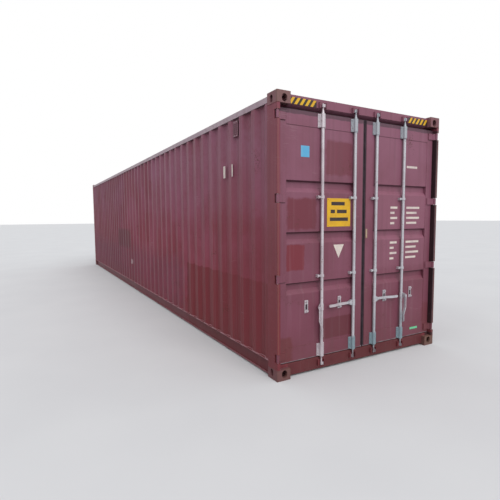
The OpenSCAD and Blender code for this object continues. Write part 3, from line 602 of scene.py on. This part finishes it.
@dataclass
class Piece:
    """A mesh being made in the row frame, which then rides on one of the frame's bodies."""

    name: str
    finish: Finish
    body: str = "root"
    slot: str | None = None
    mesh: bmesh.types.BMesh = field(default_factory=bmesh.new)

    def box(self, low: Point, high: Point) -> None:
        """Add a box.

        Args:
            low: its lowest corner.
            high: its highest corner.
        """
        size = Vector(high) - Vector(low)
        bmesh.ops.create_cube(self.mesh, size=1.0, matrix=Matrix.LocRotScale(Vector(low) + size / 2, None, size))

    def prism(self, outline: list[Point], push: Point) -> None:
        """Add a prism.

        Args:
            outline: the corners of one end.
            push: the way from that end to the other.
        """
        near = [self.mesh.verts.new(p) for p in outline]
        far = [self.mesh.verts.new(Vector(p) + Vector(push)) for p in outline]
        self.mesh.faces.new(near)
        self.mesh.faces.new(far[::-1])
        for i in range(len(near)):
            self.mesh.faces.new((near[i], near[i - 1], far[i - 1], far[i]))

    def bolt(self, at: Point, way: Point, radius: float, height: float, sides: int = 6) -> None:
        """Add a bolt's or rivet's head with a chamfered top.

        Args:
            at: the middle of its foot.
            way: the unit vector that it stands along.
            radius: its radius.
            height: how far it stands out.
            sides: six for a hexagon head, more for a round one.
        """
        turn = Vector(way).to_track_quat("Z", "Y").to_matrix().to_4x4()
        for top, depth, start in ((1.0, 0.65, 0.0), (0.7, 0.35, 0.65)):
            spot = Matrix.Translation(Vector(at) + Vector(way) * height * (start + depth / 2))
            bmesh.ops.create_cone(self.mesh, cap_ends=True, segments=sides, radius1=radius, radius2=radius * top,
                                  depth=height * depth, matrix=spot @ turn)

    def bead(self, start: Point, end: Point, radius: float, step: float = 12 * MM) -> None:
        """Add a weld bead: a lumpy half-sunk rod from point to point.

        Args:
            start: where it starts.
            end: where it ends.
            radius: its mean radius.
            step: from one ripple to the next.
        """
        way = Vector(end) - Vector(start)
        count = max(2, int(way.length / step))
        side = way.cross(Vector((0, 0, 1)))
        side = (side if side.length > 1e-6 else way.orthogonal()).normalized()
        up = way.cross(side).normalized()
        rings = []
        for i in range(count + 1):
            middle = Vector(start) + way * i / count
            size = radius * (1 + 0.30 * noise.noise(middle * 60) + (0.12 if i % 2 else -0.12))
            rings.append([self.mesh.verts.new(middle + size * (math.cos(a) * side + math.sin(a) * up))
                          for a in (math.pi * k / 3 for k in range(6))])
        for one, other in zip(rings, rings[1:]):
            for k in range(6):
                self.mesh.faces.new((one[k - 1], one[k], other[k], other[k - 1]))
        self.mesh.faces.new(rings[0][::-1])
        self.mesh.faces.new(rings[-1])

    def sheet(self, lines: tuple[list[Vector], list[Vector]], stops: list[float],
              place: Callable[[Vector, float], Vector]) -> None:
        """Add a pressed sheet with two faces and closed rims.

        Args:
            lines: the section of one face and of the other.
            stops: where across those sections its rows lie.
            place: gives the place of a section's point at a stop.
        """
        near, far = ([[self.mesh.verts.new(place(p, stop)) for p in line] for stop in stops] for line in lines)
        rows, cols = len(stops) - 1, len(lines[0]) - 1
        for r in range(rows):
            for c in range(cols):
                for face, way in ((near, 1), (far, -1)):
                    quad = (face[r][c], face[r][c + 1], face[r + 1][c + 1], face[r + 1][c])
                    self.mesh.faces.new(quad[::way])
            for c in (0, cols):
                self.mesh.faces.new((near[r][c], near[r + 1][c], far[r + 1][c], far[r][c]))
        for c in range(cols):
            for r in (0, rows):
                self.mesh.faces.new((near[r][c], near[r][c + 1], far[r][c + 1], far[r][c]))

    def done(self, bevel: float = 0.0, smooth: float = 0.0, replaces: str | None = None) -> None:
        """Turn the mesh into a piece of the container.

        Args:
            bevel: width of the rounded edges, or 0.
            smooth: the angle in degrees up to which faces are shaded as one, or 0.
            replaces: the frame node that it stands for, if any.
        """
        bmesh.ops.recalc_face_normals(self.mesh, faces=self.mesh.faces)
        data = bpy.data.meshes.new(self.name)
        self.mesh.to_mesh(data)
        self.mesh.free()
        data.materials.append(self.finish.material())
        piece = put(self.name, data)
        if bevel:
            round_edges(piece, bevel)
        if smooth:
            data.shade_smooth()
            data.set_sharp_from_angle(angle=math.radians(smooth))
            piece.modifiers.new("flat_flats", "WEIGHTED_NORMAL").keep_sharp = True
        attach(piece, self.body)
        if replaces:
            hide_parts(replaces)
        LOG.info("made %s", self.name)


def rounded_path(path: list[Spot], radius: float, steps: int = 3) -> list[Vector]:
    """Round the bends of a sheet's path.

    Args:
        path: the corners of the path.
        radius: the bend's radius.
        steps: how many pieces each bend has.

    Returns:
        The rounded path.
    """
    made = [Vector(path[0])]
    for before, corner, after in zip(path, path[1:], path[2:]):
        a, b, c = Vector(before), Vector(corner), Vector(after)
        come, go = (b - a).normalized(), (c - b).normalized()
        turn = come.angle_signed(go)
        reach = min(radius * math.tan(abs(turn) / 2), (b - a).length * 0.45, (c - b).length * 0.45)
        for k in range(steps + 1):
            t = k / steps
            made.append((b - come * reach) * (1 - t) ** 2 + b * 2 * t * (1 - t) + (b + go * reach) * t**2)
    made.append(Vector(path[-1]))
    return made


def offset_path(path: list[Vector], gap: float) -> list[Vector]:
    """Shift a path to its left.

    Args:
        path: the path.
        gap: how far it is shifted.

    Returns:
        The shifted path.
    """
    made = []
    for i, spot in enumerate(path):
        way = (path[min(i + 1, len(path) - 1)] - path[max(i - 1, 0)]).normalized()
        made.append(spot + Vector((-way.y, way.x)) * gap)
    return made


def dent(depth: float, spot: Point, share: float = 0.5, bias: float = 0.4) -> float:
    """Say how deep a sheet is dented.

    Args:
        depth: about the deepest dent.
        spot: place in the pattern of the dents.
        share: place between two welded edges, from 0 to 1, where nothing is dented.
        bias: how much of the sheet is dented, from -1 to 1.

    Returns:
        The depth, never negative.
    """
    return depth * max(0.0, bias + noise.noise(Vector(spot))) * math.sin(math.pi * share)


def shares(parts: int) -> list[float]:
    """Share a span out evenly, from 0 to 1."""
    return [part / parts for part in range(parts + 1)]


@dataclass(frozen=True)
class Wave:
    """A sheet's pressed wave, as the frame has it: its depth, nearest pitch, flats and plain ends."""

    depth: float
    pitch: float
    outer: float
    inner: float
    margin: float

    def turns(self, half: float) -> list[Spot]:
        """Give the wave's corners, four for each repeat.

        Args:
            half: half of the sheet's length.

        Returns:
            The corners: along the sheet, and inwards.
        """
        span = 2 * (half - self.margin)
        count = round((span + self.outer) / self.pitch)
        step = (span + self.outer) / count
        slope = (step - self.outer - self.inner) / 2
        reaches = ((0.0, 0.0), (slope, self.depth), (slope + self.inner, self.depth), (step - self.outer, 0.0))
        return [(-span / 2 + i * step + reach, depth) for i in range(count) for reach, depth in reaches]

    def path(self, half: float, bend: float, steps: int = 3) -> list[Vector]:
        """Give the sheet's section from end to end.

        Args:
            half: half of the sheet's length.
            bend: radius of its bends.
            steps: how many pieces each bend has.

        Returns:
            The section: along the sheet, and inwards.
        """
        return rounded_path([(-half, 0.0), *self.turns(half), (half, 0.0)], bend, steps)


SIDE_WAVE = Wave(depth=36 * MM, pitch=281 * MM, outer=72 * MM, inner=70 * MM, margin=50 * MM)


@dataclass
class Sided:
    """A part that the left and the right side have, mirrored."""

    side: str

    @property
    def sign(self) -> int:
        """The side of the row frame that it is on."""
        return -1 if self.side == "left" else 1

    def on_door(self, name: str, finish: Finish, slot: str | None = None) -> Piece:
        """Start a piece of this side's door."""
        return Piece(f"{self.side}_{name}", finish, f"{self.side}_door", slot)


@dataclass
class SideWall(Sided):
    """A corrugated side wall, with rounded bends, shallow dents and welded seams."""

    thick: float = 1.6 * MM
    bend: float = 14 * MM
    rows: int = 22
    hollows: float = 2.2 * MM
    seam_every: int = 4

    def build(self) -> None:
        """Make the wall in place of its frame node, and lay a bead wherever two of its sheets meet."""
        low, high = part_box(f"{self.side}_side_wall")
        half = (high.x - low.x) / 2
        path = SIDE_WAVE.path(half, self.bend)
        wall = Piece(f"{self.side}_corrugated_wall", Finish.SIDE)
        wall.sheet((path, offset_path(path, self.thick)), shares(self.rows), partial(self.place, low, high))
        wall.done(smooth=35, replaces=f"{self.side}_side_wall")
        seams = Piece(f"{self.side}_wall_seam_welds", Finish.SIDE)
        y = self.sign * (max(abs(low.y), abs(high.y)) - 0.6 * MM)
        repeat = 4 * self.seam_every
        for turn, _ in SIDE_WAVE.turns(half)[repeat::repeat]:
            x = turn - SIDE_WAVE.outer / 2
            seams.bead((x, y, low.z + 4 * MM), (x, y, high.z - 4 * MM), 1.8 * MM, 30 * MM)
        seams.done(smooth=60)

    def place(self, low: Vector, high: Vector, p: Vector, share: float) -> Vector:
        """Place a point of the wall.

        Args:
            low: the wall's lowest corner.
            high: its highest corner.
            p: a point of its section.
            share: how far up the wall it is, from 0 to 1.

        Returns:
            The place.
        """
        z = low.z + (high.z - low.z) * share
        hollow = dent(self.hollows, (p.x * 1.1, self.sign * 9.0, z * 0.9), share)
        return Vector((p.x, self.sign * (max(abs(low.y), abs(high.y)) - p.y - hollow), z))


@dataclass
class FrontWall:
    """The corrugated front wall, with rounded bends."""

    wave: Wave = Wave(depth=45 * MM, pitch=250 * MM, outer=110 * MM, inner=104 * MM, margin=30 * MM)
    thick: float = 1.6 * MM
    bend: float = 14 * MM
    rows: int = 22
    hollows: float = 2.0 * MM

    def build(self) -> None:
        """Make the wall in place of its frame node."""
        low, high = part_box("front_wall")
        path = self.wave.path((high.y - low.y) / 2, self.bend)
        piece = Piece("front_corrugated_wall", Finish.SIDE)
        piece.sheet((path, offset_path(path, self.thick)), shares(self.rows), partial(self.place, low, high))
        piece.done(smooth=35, replaces="front_wall")

    def place(self, low: Vector, high: Vector, p: Vector, share: float) -> Vector:
        """Place a point of the wall.

        Args:
            low: the wall's lowest corner.
            high: its highest corner.
            p: a point of its section.
            share: how far up the wall it is, from 0 to 1.

        Returns:
            The place.
        """
        z = low.z + (high.z - low.z) * share
        hollow = dent(self.hollows, (7.0, p.x * 1.3, z), share)
        return Vector((low.x + p.y + hollow, p.x, z))


@dataclass
class Roof:
    """The roof sheet, with die stamped ribs whose ends close before the rails."""

    wave: Wave = Wave(depth=18 * MM, pitch=209 * MM, outer=70 * MM, inner=90 * MM, margin=60 * MM)
    thick: float = 2 * MM
    bend: float = 16 * MM
    end_plate: float = 4 * MM
    fitting_reach: float = 162 * MM
    rib_end: float = 1.080
    rib_slope: float = 60 * MM
    sag: float = 3 * MM

    def build(self) -> None:
        """Make the roof in place of its frame node."""
        low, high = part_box("roof_panel")
        path = [p.to_3d() for p in self.wave.path(high.x, self.bend, 2)]
        raised = [p + Vector((0.0, 0.0, self.thick)) for p in path]
        stops = [0.0, 0.35, 0.7, self.rib_end - self.rib_slope, self.rib_end - self.rib_slope / 2,
                 self.rib_end, high.y]
        piece = Piece("ribbed_roof", Finish.SIDE)
        piece.sheet((raised, path), [-y for y in reversed(stops[1:])] + stops, partial(self.place, low.z))
        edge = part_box("front_corner_posts")[0].y + self.fitting_reach
        piece.box((low.x, edge, low.z), (-high.x, -edge, low.z + self.end_plate))
        piece.done(smooth=35, replaces="roof_panel")

    def place(self, level: float, p: Vector, y: float) -> Vector:
        """Place a point of the roof.

        Args:
            level: height of the sheet's flats.
            p: a point of its section, with its share of the thickness as z.
            y: place across the roof.

        Returns:
            The place.
        """
        share = min(1.0, max(0.0, (self.rib_end - abs(y)) / self.rib_slope))
        share = share * share * (3 - 2 * share)
        dip = dent(self.sag * share, (p.x * 0.8, y, 3.0), bias=0.3)
        return Vector((p.x, y, level + max(0.0, p.y * share - dip) + p.z))


@dataclass
class FloorBoards:
    """Plywood boards on the cross members, with a steel strip along the middle and countersunk screws."""

    boards: int = 5
    gap: float = 3 * MM
    strip: float = 50 * MM
    strip_rise: float = 1.0 * MM
    screw: float = 6 * MM
    screw_rows: int = 34
    screw_columns: int = 8
    end_inset: float = 100 * MM
    side_inset: float = 120 * MM
    # The cut that the front posts stand in
    corner: float = 70 * MM

    def build(self) -> None:
        """Make the boards in place of the frame node."""
        low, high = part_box("floor_boards")
        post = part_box("front_corner_posts")[1].x
        step = (high.x - post) / self.boards
        piece = Piece("plywood_floor", Finish.PLY)
        piece.box((low.x, low.y + self.corner, low.z), (post - self.gap, high.y - self.corner, high.z))
        for i in range(self.boards):
            x = post + i * step
            for y0, y1 in ((low.y, -self.strip / 2), (self.strip / 2, high.y)):
                piece.box((x, y0, low.z), (x + step - self.gap, y1, high.z))
        piece.done(bevel=1.5 * MM, replaces="floor_boards")
        steel = Piece("floor_centre_strip", Finish.ZINC)
        half = self.strip / 2 - 1 * MM
        steel.box((post, -half, low.z), (high.x, half, high.z + self.strip_rise))
        for along in shares(self.screw_rows - 1):
            x = post + self.end_inset + (high.x - post - 2 * self.end_inset) * along
            for across in shares(self.screw_columns - 1):
                y = low.y + self.side_inset + (high.y - low.y - 2 * self.side_inset) * across
                steel.bolt((x, y, high.z - 0.4 * MM), (0, 0, 1), self.screw, 0.9 * MM, 8)
        steel.done()


@dataclass
class DoorSkin(Sided):
    """A door's pressed panel with rounded bends, and the welds that hold it in its frame."""

    thick: float = 2 * MM
    bands: int = 3
    band_depth: float = 34 * MM
    band_height: float = 117 * MM
    top_slope: float = 8 * MM
    low_slope: float = 45 * MM
    first_band: float = 708 * MM
    band_pitch: float = 529 * MM
    bend: float = 9 * MM
    columns: int = 14
    hollows: float = 1.6 * MM
    longest: float = 140 * MM
    bead: float = 2.5 * MM

    def build(self) -> None:
        """Make the panel and its welds."""
        low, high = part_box(f"{self.side}_door_panel")
        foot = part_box(f"{self.side}_door_frame")[0].z
        path: list[Spot] = [(0.0, low.z)]
        for i in range(self.bands):
            z = foot + self.first_band + self.band_pitch * i
            path += [(0.0, z), (-self.band_depth, z + self.low_slope),
                     (-self.band_depth, z + self.band_height - self.top_slope), (0.0, z + self.band_height)]
        outer = rounded_path([*path, (0.0, high.z)], self.bend)
        lines = self.divide(outer), self.divide(offset_path(outer, self.thick))
        piece = self.on_door("pressed_door_panel", Finish.DOOR)
        piece.sheet(lines, shares(self.columns), partial(self.place, low, high))
        piece.done(smooth=35, replaces=f"{self.side}_door_panel")
        self.welds(low, high)

    def place(self, low: Vector, high: Vector, p: Vector, share: float) -> Vector:
        """Place a point of the panel.

        Args:
            low: the panel's lowest corner.
            high: its highest corner.
            p: a point of its section.
            share: how far across the panel it is, from 0 to 1.

        Returns:
            The place.
        """
        y = low.y + (high.y - low.y) * share
        hollow = dent(self.hollows, (y * 2.2, p.y * 1.8, 5.0), share)
        return Vector((high.x + p.x - hollow, y, p.y))

    def divide(self, line: list[Vector]) -> list[Vector]:
        """Put points between those of a path that lie far apart.

        Args:
            line: the path.

        Returns:
            The path with more points.
        """
        made = [line[0]]
        for a, b in zip(line, line[1:]):
            parts = max(1, int((b - a).length / self.longest))
            made += [a.lerp(b, k / parts) for k in range(1, parts + 1)]
        return made

    def welds(self, low: Vector, high: Vector) -> None:
        """Lay the beads round the panel and across the frame's corners.

        Args:
            low: the panel's lowest corner.
            high: its highest corner.
        """
        piece = self.on_door("door_welds", Finish.DOOR)
        x = high.x + 0.5 * MM
        for y in (low.y, high.y):
            piece.bead((x, y, low.z), (x, y, high.z), self.bead)
        for z in (low.z, high.z):
            piece.bead((x, low.y, z), (x, high.y, z), self.bead)
        frame_low, frame_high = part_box(f"{self.side}_door_frame")
        for y in (low.y, high.y):
            for z0, z1 in ((frame_low.z, low.z), (high.z, frame_high.z)):
                piece.bead((frame_high.x, y, z0 + 3 * MM), (frame_high.x, y, z1 - 3 * MM), 1.6 * MM)
        piece.done(smooth=60)


@dataclass
class DoorFasteners(Sided):
    """Bolts on the gear of one door, its seal's lips and the beads of its hinge blades."""

    bars: Spot = (0.627, 0.167)
    bracket_half: float = 50 * MM
    bracket_plate: float = 6 * MM
    bracket_levels: Spot = (0.164, 2.599)
    bracket_height: float = 138 * MM
    guide_arm: float = 54 * MM
    guide_levels: Spot = (1.030, 1.866)
    guide_height: float = 30 * MM
    retainer_reach: float = 188 * MM
    retainer_spots: Spot = (0.668, 0.778)
    retainer_plate: float = 5 * MM
    # Low and high edges, and half width, of the dark sheet of painted shade in each retainer's hollow
    hollow: Spot = (0.690, 0.748)
    shade_half: float = 13 * MM
    blade_height: float = 78 * MM
    blade_reach: float = 82 * MM
    bolt_radius: float = 8 * MM
    bolt_height: float = 6 * MM
    edge: float = 12 * MM
    lip: float = 5 * MM
    lip_gap: float = 9 * MM
    foot_lip: float = 8 * MM

    def build(self) -> None:
        """Make the bolts, beads and lips."""
        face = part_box(f"{self.side}_door_frame")[1].x
        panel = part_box(f"{self.side}_door_panel")[1].x
        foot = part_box(f"{self.side}_door_bar_brackets")[1].x
        bolts = self.on_door("door_bolts", Finish.ZINC)
        for bar in self.bars:
            for y in (-1, 1):
                for level in self.bracket_levels:
                    for rise in (self.edge, self.bracket_height / 2, self.bracket_height - self.edge):
                        bolts.bolt((face + self.bracket_plate, self.sign * bar + y * (self.bracket_half - self.edge),
                                    level + rise), (1, 0, 0), self.bolt_radius, self.bolt_height)
            small = [(foot - 20 * MM, self.sign * bar - self.guide_arm, z + self.guide_height / 2)
                     for z in self.guide_levels]
            small += [(panel + self.retainer_plate, self.sign * (bar + self.retainer_reach + 14 * MM), z)
                      for z in self.retainer_spots]
            for spot in small:
                bolts.bolt(spot, (1, 0, 0), self.bolt_radius * 0.8, self.bolt_height * 0.7)
        bolts.done()
        self.shade_sheets(panel + self.retainer_plate)
        self.hinge_beads(face)
        self.lips()

    def shade_sheets(self, face: float) -> None:
        """Lay a dark sheet in each handle retainer's plate, between its hook and its lug: painted shade of the
        hollow there, with dirt.

        Args:
            face: the plates' outer face.
        """
        piece = self.on_door("retainer_shade_sheets", Finish.RUBBER, "seal_rubber")
        for bar in self.bars:
            y = self.sign * (bar + self.retainer_reach)
            piece.box((face, y - self.shade_half, self.hollow[0]),
                      (face + 1 * MM, y + self.shade_half, self.hollow[1]))
        piece.done(bevel=0.4 * MM)

    def hinge_beads(self, face: float) -> None:
        """Lay a bead round the foot of each hinge blade.

        Args:
            face: the door frame's outer face.
        """
        low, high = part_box(f"{self.side}_door_hinge_blades")
        piece = self.on_door("hinge_welds", Finish.DOOR)
        inner = self.sign * min(abs(low.y), abs(high.y))
        outer = inner + self.sign * self.blade_reach
        for i in range(4):
            foot = low.z + i * (high.z - low.z - self.blade_height) / 3
            top = foot + self.blade_height
            corners = [(outer, foot), (inner, foot), (inner, top), (outer, top)]
            for start, end in zip(corners, corners[1:]):
                piece.bead((face, *start), (face, *end), 3.2 * MM, 9 * MM)
        piece.done(smooth=60)

    def lips(self) -> None:
        """Lay the rubber lips that stand proud along the middle and the foot."""
        low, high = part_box(f"{self.side}_door_seal")
        piece = self.on_door("seal_lips", Finish.RUBBER)
        for k in range(2):
            y = self.sign * (min(abs(low.y), abs(high.y)) + self.lip + 1 * MM + k * self.lip_gap)
            piece.bead((high.x, y, low.z), (high.x, y, high.z), self.lip * (1 - 0.2 * k), 60 * MM)
        piece.done(smooth=60)
        foot = self.on_door("seal_foot", Finish.DUSTY, "seal_rubber")
        level = low.z + self.foot_lip
        foot.bead((high.x, low.y + self.foot_lip, level), (high.x, high.y - self.foot_lip, level),
                  self.foot_lip, 60 * MM)
        foot.done(smooth=60)


@dataclass
class PivotHeads:
    """Domed heads of the pins that the handles swing on."""

    pivot: float = 56 * MM
    setback: float = 8 * MM
    pin_half: float = 15.4 * MM
    bar_out: float = 24 * MM
    level: float = 0.703
    dome: float = 9 * MM
    # How far each bar is turned open, in degrees, and its distance from the middle
    bars: tuple[tuple[str, str, float, float], ...] = (
        ("left", "outer", 40.0, 0.627), ("left", "inner", 0.0, 0.167),
        ("right", "outer", 90.0, 0.627), ("right", "inner", 0.0, 0.167))

    def build(self) -> None:
        """Put a head on both ends of each pin."""
        for side, place, degrees, off in self.bars:
            sign = Sided(side).sign
            cos, sin = math.cos(math.radians(degrees)), math.sin(math.radians(degrees))
            out, push = Vector((sin, sign * cos, 0)), Vector((cos, -sign * sin, 0))
            axis = Vector((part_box(f"{side}_door_frame")[1].x + self.bar_out, sign * off, self.level))
            middle = axis + out * self.pivot - push * self.setback
            piece = Piece(f"{side}_{place}_lock_bar_pivot_heads", Finish.ZINC, f"{side}_{place}_bar")
            for way in (push, -push):
                piece.bolt(middle + way * self.pin_half, way, self.dome, 4 * MM, 12)
            piece.done(smooth=40)


@dataclass
class Hazard:
    """Yellow and black slanted stripes on the ends of the door header."""

    pitch: float = 67 * MM
    stripe: float = 34 * MM
    low: float = 2.796
    high: float = 2.862
    start: float = 0.700
    end: float = 1.053
    lean: float = 45 * MM
    thick: float = 1.2 * MM

    def build(self) -> None:
        """Lay the black plates and their yellow stripes."""
        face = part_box("door_header")[1].x
        for side, ys in (("left", (-self.end, -self.start)), ("right", (self.start, self.end))):
            plate = Piece(f"{side}_hazard_plate", Finish.BLACK, slot="mark_black")
            plate.box((face, ys[0], self.low), (face + self.thick, ys[1], self.high))
            plate.done()
            stripes = Piece(f"{side}_hazard_stripes", Finish.YELLOW, slot="plate_yellow")
            y = ys[0] + 4 * MM
            while y + self.stripe + self.lean < ys[1]:
                corners = [(y, self.low), (y + self.stripe, self.low),
                           (y + self.stripe + self.lean, self.high), (y + self.lean, self.high)]
                stripes.prism([(face + self.thick, a, b) for a, b in corners], (self.thick / 2, 0, 0))
                y += self.pitch
            stripes.done()


@dataclass
class Marks:
    """Plates, films and blank marking bars on the doors and the left wall."""

    film: float = 0.8 * MM
    plate: float = 2 * MM
    stile_plate: float = 5 * MM
    bar_height: float = 26 * MM
    # Every other bar on the right door ends short by this much
    short: float = 50 * MM

    def build(self) -> None:
        """Lay every mark."""
        self.plates()
        self.height_plate_bars()
        self.triangle()
        self.door_bars()
        self.wall_bars()

    def face(self) -> float:
        """Where the door panels' outer flats lie."""
        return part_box("left_door_panel")[1].x

    def plates(self) -> None:
        """Lay the plain plates and films on the doors' panels and frames."""
        for name, finish, slot, side, on, low, high, thick in (
            ("yellow_height_plate", Finish.YELLOW, "plate_yellow", "left", "panel",
             (-0.540, 1.565), (-0.205, 1.872), self.plate),
            ("blue_film", Finish.BLUE, "plate_blue", "left", "panel", (-0.890, 2.286), (-0.780, 2.401), self.film),
            ("green_film", Finish.GREEN, "plate_green", "right", "frame", (0.830, 0.234), (0.973, 0.261), self.film),
            ("worn_stile_plate", Finish.OCHRE, "galvanised_steel", "right", "frame",
             (0.030, 1.425), (0.054, 1.530), self.stile_plate),
        ):
            piece = Piece(name, finish, f"{side}_door", slot)
            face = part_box(f"{side}_door_{on}")[1].x
            piece.box((face, *low), (face + thick, *high))
            piece.done(bevel=min(thick / 2, 1.0 * MM))

    def height_plate_bars(self) -> None:
        """Lay the yellow plate's blank bars, and its rivets."""
        face, half = self.face() + self.plate, 19 * MM
        lines = Piece("yellow_plate_blank_bars", Finish.BLACK, "left_door", "mark_black")
        for low, high, z in ((-0.48, -0.29, 1.815), (-0.49, -0.43, 1.73), (-0.40, -0.26, 1.73),
                             (-0.50, -0.24, 1.645)):
            lines.box((face, low, z - half), (face + self.film, high, z + half))
        for y in (-0.525, -0.220):
            for z in (1.58, 1.857):
                lines.bolt((face, y, z), (1, 0, 0), 4 * MM, 1.5 * MM, 10)
        lines.done()

    def triangle(self) -> None:
        """Lay the plain white triangle that stands on its tip."""
        piece = Piece("white_triangle_film", Finish.WHITE, "left_door", "mark_white")
        corners = ((-0.37, 1.219), (-0.295, 1.367), (-0.445, 1.367))
        piece.prism([(self.face(), y, z) for y, z in corners], (self.film, 0, 0))
        piece.done()

    def door_bars(self) -> None:
        """Lay rows of blank marking bars on the right door."""
        face = self.face()
        both = ((0.44, 0.56), (0.72, 0.96))
        for name, columns, top, rows, drop in (("right_door_upper_bars", both, 1.79, 4, 0.062),
                                               ("right_door_lower_bars", both, 1.37, 4, 0.064),
                                               ("right_door_top_bar", ((0.71, 0.90),), 2.285, 1, 0.06)):
            piece = Piece(name, Finish.WHITE, "right_door", "mark_white")
            for low, high in columns:
                for row in range(rows):
                    z = top - row * drop
                    piece.box((face, low, z - self.bar_height), (face + self.film, high - row % 2 * self.short, z))
            piece.done()

    def wall_bars(self) -> None:
        """Lay three upright blank bars on the left wall's flats near the door end."""
        piece = Piece("left_wall_blank_bars", Finish.WHITE, slot="mark_white")
        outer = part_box("left_side_wall")[0].y
        for x, width, depth in ((4.885, 0.055, 0.0), (5.000, 0.045, 0.036), (5.110, 0.030, 0.0)):
            piece.box((x, outer + depth - self.film, 2.155), (x + width, outer + depth, 2.300))
        piece.done()


@dataclass
class Ventilators:
    """The screws of the side ventilators' covers."""

    screw: float = 5 * MM
    inset: float = 9 * MM
    # The screws' distances from the cover's end that is farther from the container's middle
    reaches: Spot = (34 * MM, 88 * MM)

    def build(self) -> None:
        """Put a screw in each corner of both covers."""
        low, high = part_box("side_ventilators")
        piece = Piece("ventilator_screws", Finish.ZINC)
        for sign, end in ((-1, high.x), (1, low.x)):
            for reach in self.reaches:
                for z in (low.z + self.inset, high.z - self.inset):
                    piece.bolt((end + sign * reach, sign * abs(low.y), z), (0, sign, 0), self.screw, 2 * MM, 10)
        piece.done()


@dataclass
class FrameWelds:
    """Beads where the posts and rails meet the fittings, and where the side sheets meet their rails."""

    bead: float = 3 * MM
    fitting_length: float = 178 * MM
    fitting_height: float = 118 * MM
    door_post: float = 38 * MM
    front_post: float = 110 * MM
    foot_bead: float = 5 * MM

    def build(self) -> None:
        """Lay the beads of the four corners."""
        low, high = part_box("corner_fittings_door_end_bottom")[0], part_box("corner_fittings_door_end_top")[1]
        piece = Piece("frame_welds", Finish.FRAME)
        half = -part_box("corner_fittings_front_end_bottom")[0].x
        side = high.y
        for x_sign in (-1, 1):
            width = self.door_post if x_sign > 0 else self.front_post
            for y_sign in (-1, 1):
                for z in (low.z + self.fitting_height, high.z - self.fitting_height):
                    corner = (x_sign * half, y_sign * side, z)
                    piece.bead(corner, (x_sign * (half - self.fitting_length), y_sign * side, z), self.bead)
                    piece.bead(corner, (x_sign * half, y_sign * (side - width), z), self.bead)
        piece.done(smooth=60)
        self.wall_feet()

    def wall_feet(self) -> None:
        """Lay the bead that joins each side sheet's corrugations to its bottom rail, coloured pale as a painted
        highlight.
        """
        piece = Piece("wall_foot_welds", Finish.BEAD_HIGHLIGHT, slot="side_paint")
        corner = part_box("left_side_wall")[0]
        turns = SIDE_WAVE.turns(-corner.x)
        turns.append((turns[-1][0] + SIDE_WAVE.outer, 0.0))
        for (x0, in0), (x1, in1) in zip(turns, turns[1:]):
            for sign in (-1, 1):
                start, end = (x0, sign * (-corner.y - in0), corner.z), (x1, sign * (-corner.y - in1), corner.z)
                piece.bead(start, end, self.foot_bead, 24 * MM)
        piece.done(smooth=60)


@dataclass
class Stage:
    """The floor, the light and the camera."""

    # The photo's view: where the camera stood, how it was turned in degrees, and its lens
    eye: Point = (9.342, -3.354, 1.665)
    heading: float = 150.62
    pitch: float = -4.638
    roll: float = -0.421
    focal_px: float = 394.0
    photo_px: float = 500.0
    sensor_mm: float = 36.0
    sun_strength: float = 1.5
    sun_angle: float = 50.0
    sun_heading: float = -8.0
    sun_height: float = 42.0
    sky_high: float = 0.95
    sky_low: float = 0.60

    def build(self) -> None:
        """Set the camera, floor and lights."""
        self.camera()
        self.floor()
        self.sky()
        self.sun()

    def camera(self) -> None:
        """Place the camera where the photo was taken."""
        data = bpy.data.cameras.new("photo_camera")
        data.sensor_width = self.sensor_mm
        data.lens = self.sensor_mm * self.focal_px / self.photo_px
        data.clip_end = 500.0
        camera = put("photo_camera", data)
        turn = (Matrix.Rotation(math.radians(self.heading - 90), 4, "Z")
                @ Matrix.Rotation(math.radians(90 + self.pitch), 4, "X")
                @ Matrix.Rotation(math.radians(self.roll), 4, "Z"))
        camera.matrix_world = Matrix.Translation(self.eye) @ turn
        bpy.context.scene.camera = camera

    def floor(self) -> None:
        """Lay a plain pale floor that throws little light up, as dark ground does."""
        data = bpy.data.meshes.new("floor")
        half = 150.0
        data.from_pydata([(-half, -half, -MM), (half, -half, -MM), (half, half, -MM), (-half, half, -MM)],
                         [], [(0, 1, 2, 3)])
        g = Graph(bpy.data.materials.new("pale_floor"))
        tone = g.add("Mix", RGB, i0=g.add("TexNoise", Scale=0.8, Detail=4.0), i6=linear("cfcfd0"),
                     i7=linear("d8d8d8"))
        shown, dark = g.add("BsdfDiffuse", Color=tone), g.add("BsdfDiffuse", Color=linear("8c8c8c"))
        g.add("OutputMaterial", Surface=g.add("MixShader", i0=g.seen(), i1=dark, i2=shown))
        data.materials.append(g.owner)
        floor = put("floor", data)

    def sky(self) -> None:
        """Make an overcast sky, brighter overhead, that looks white to the camera."""
        g = Graph(bpy.data.worlds.new("overcast"))
        bpy.context.scene.world = g.owner
        up = g.add("SeparateXYZ", out="Z", Vector=g.add("TexCoord", out="Generated"))
        strength = g.add("MapRange", Value=up, To_Min=self.sky_low, To_Max=self.sky_high)
        light = g.add("Background", Color=linear("f4f6fa"), Strength=strength)
        shown = g.add("Background", Color=linear("ffffff"))
        g.add("OutputWorld", Surface=g.add("MixShader", i0=g.seen(), i1=light, i2=shown))

    def sun(self) -> None:
        """Add one very soft sun, so that the doors are a little lighter than the side."""
        data = bpy.data.lights.new("soft_sun", "SUN")
        data.energy = self.sun_strength
        data.angle = math.radians(self.sun_angle)
        put("soft_sun", data).matrix_world = (
            Matrix.Rotation(math.radians(self.sun_heading + 90), 4, "Z")
            @ Matrix.Rotation(math.radians(90 - self.sun_height), 4, "X"))


def main() -> None:
    """Dress the frame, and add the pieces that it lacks."""
    logging.basicConfig(level=logging.INFO)
    bpy.context.scene.view_settings.view_transform = "Standard"
    for part in (Stage(), PackedFrame(), SideWall("left"), SideWall("right"), FrontWall(), Roof(), FloorBoards(),
                 DoorSkin("left"), DoorSkin("right"), DoorFasteners("left"), DoorFasteners("right"),
                 PivotHeads(), Ventilators(), FrameWelds(), Hazard(), Marks()):
        part.build()


if __name__ == "__main__":
    main()
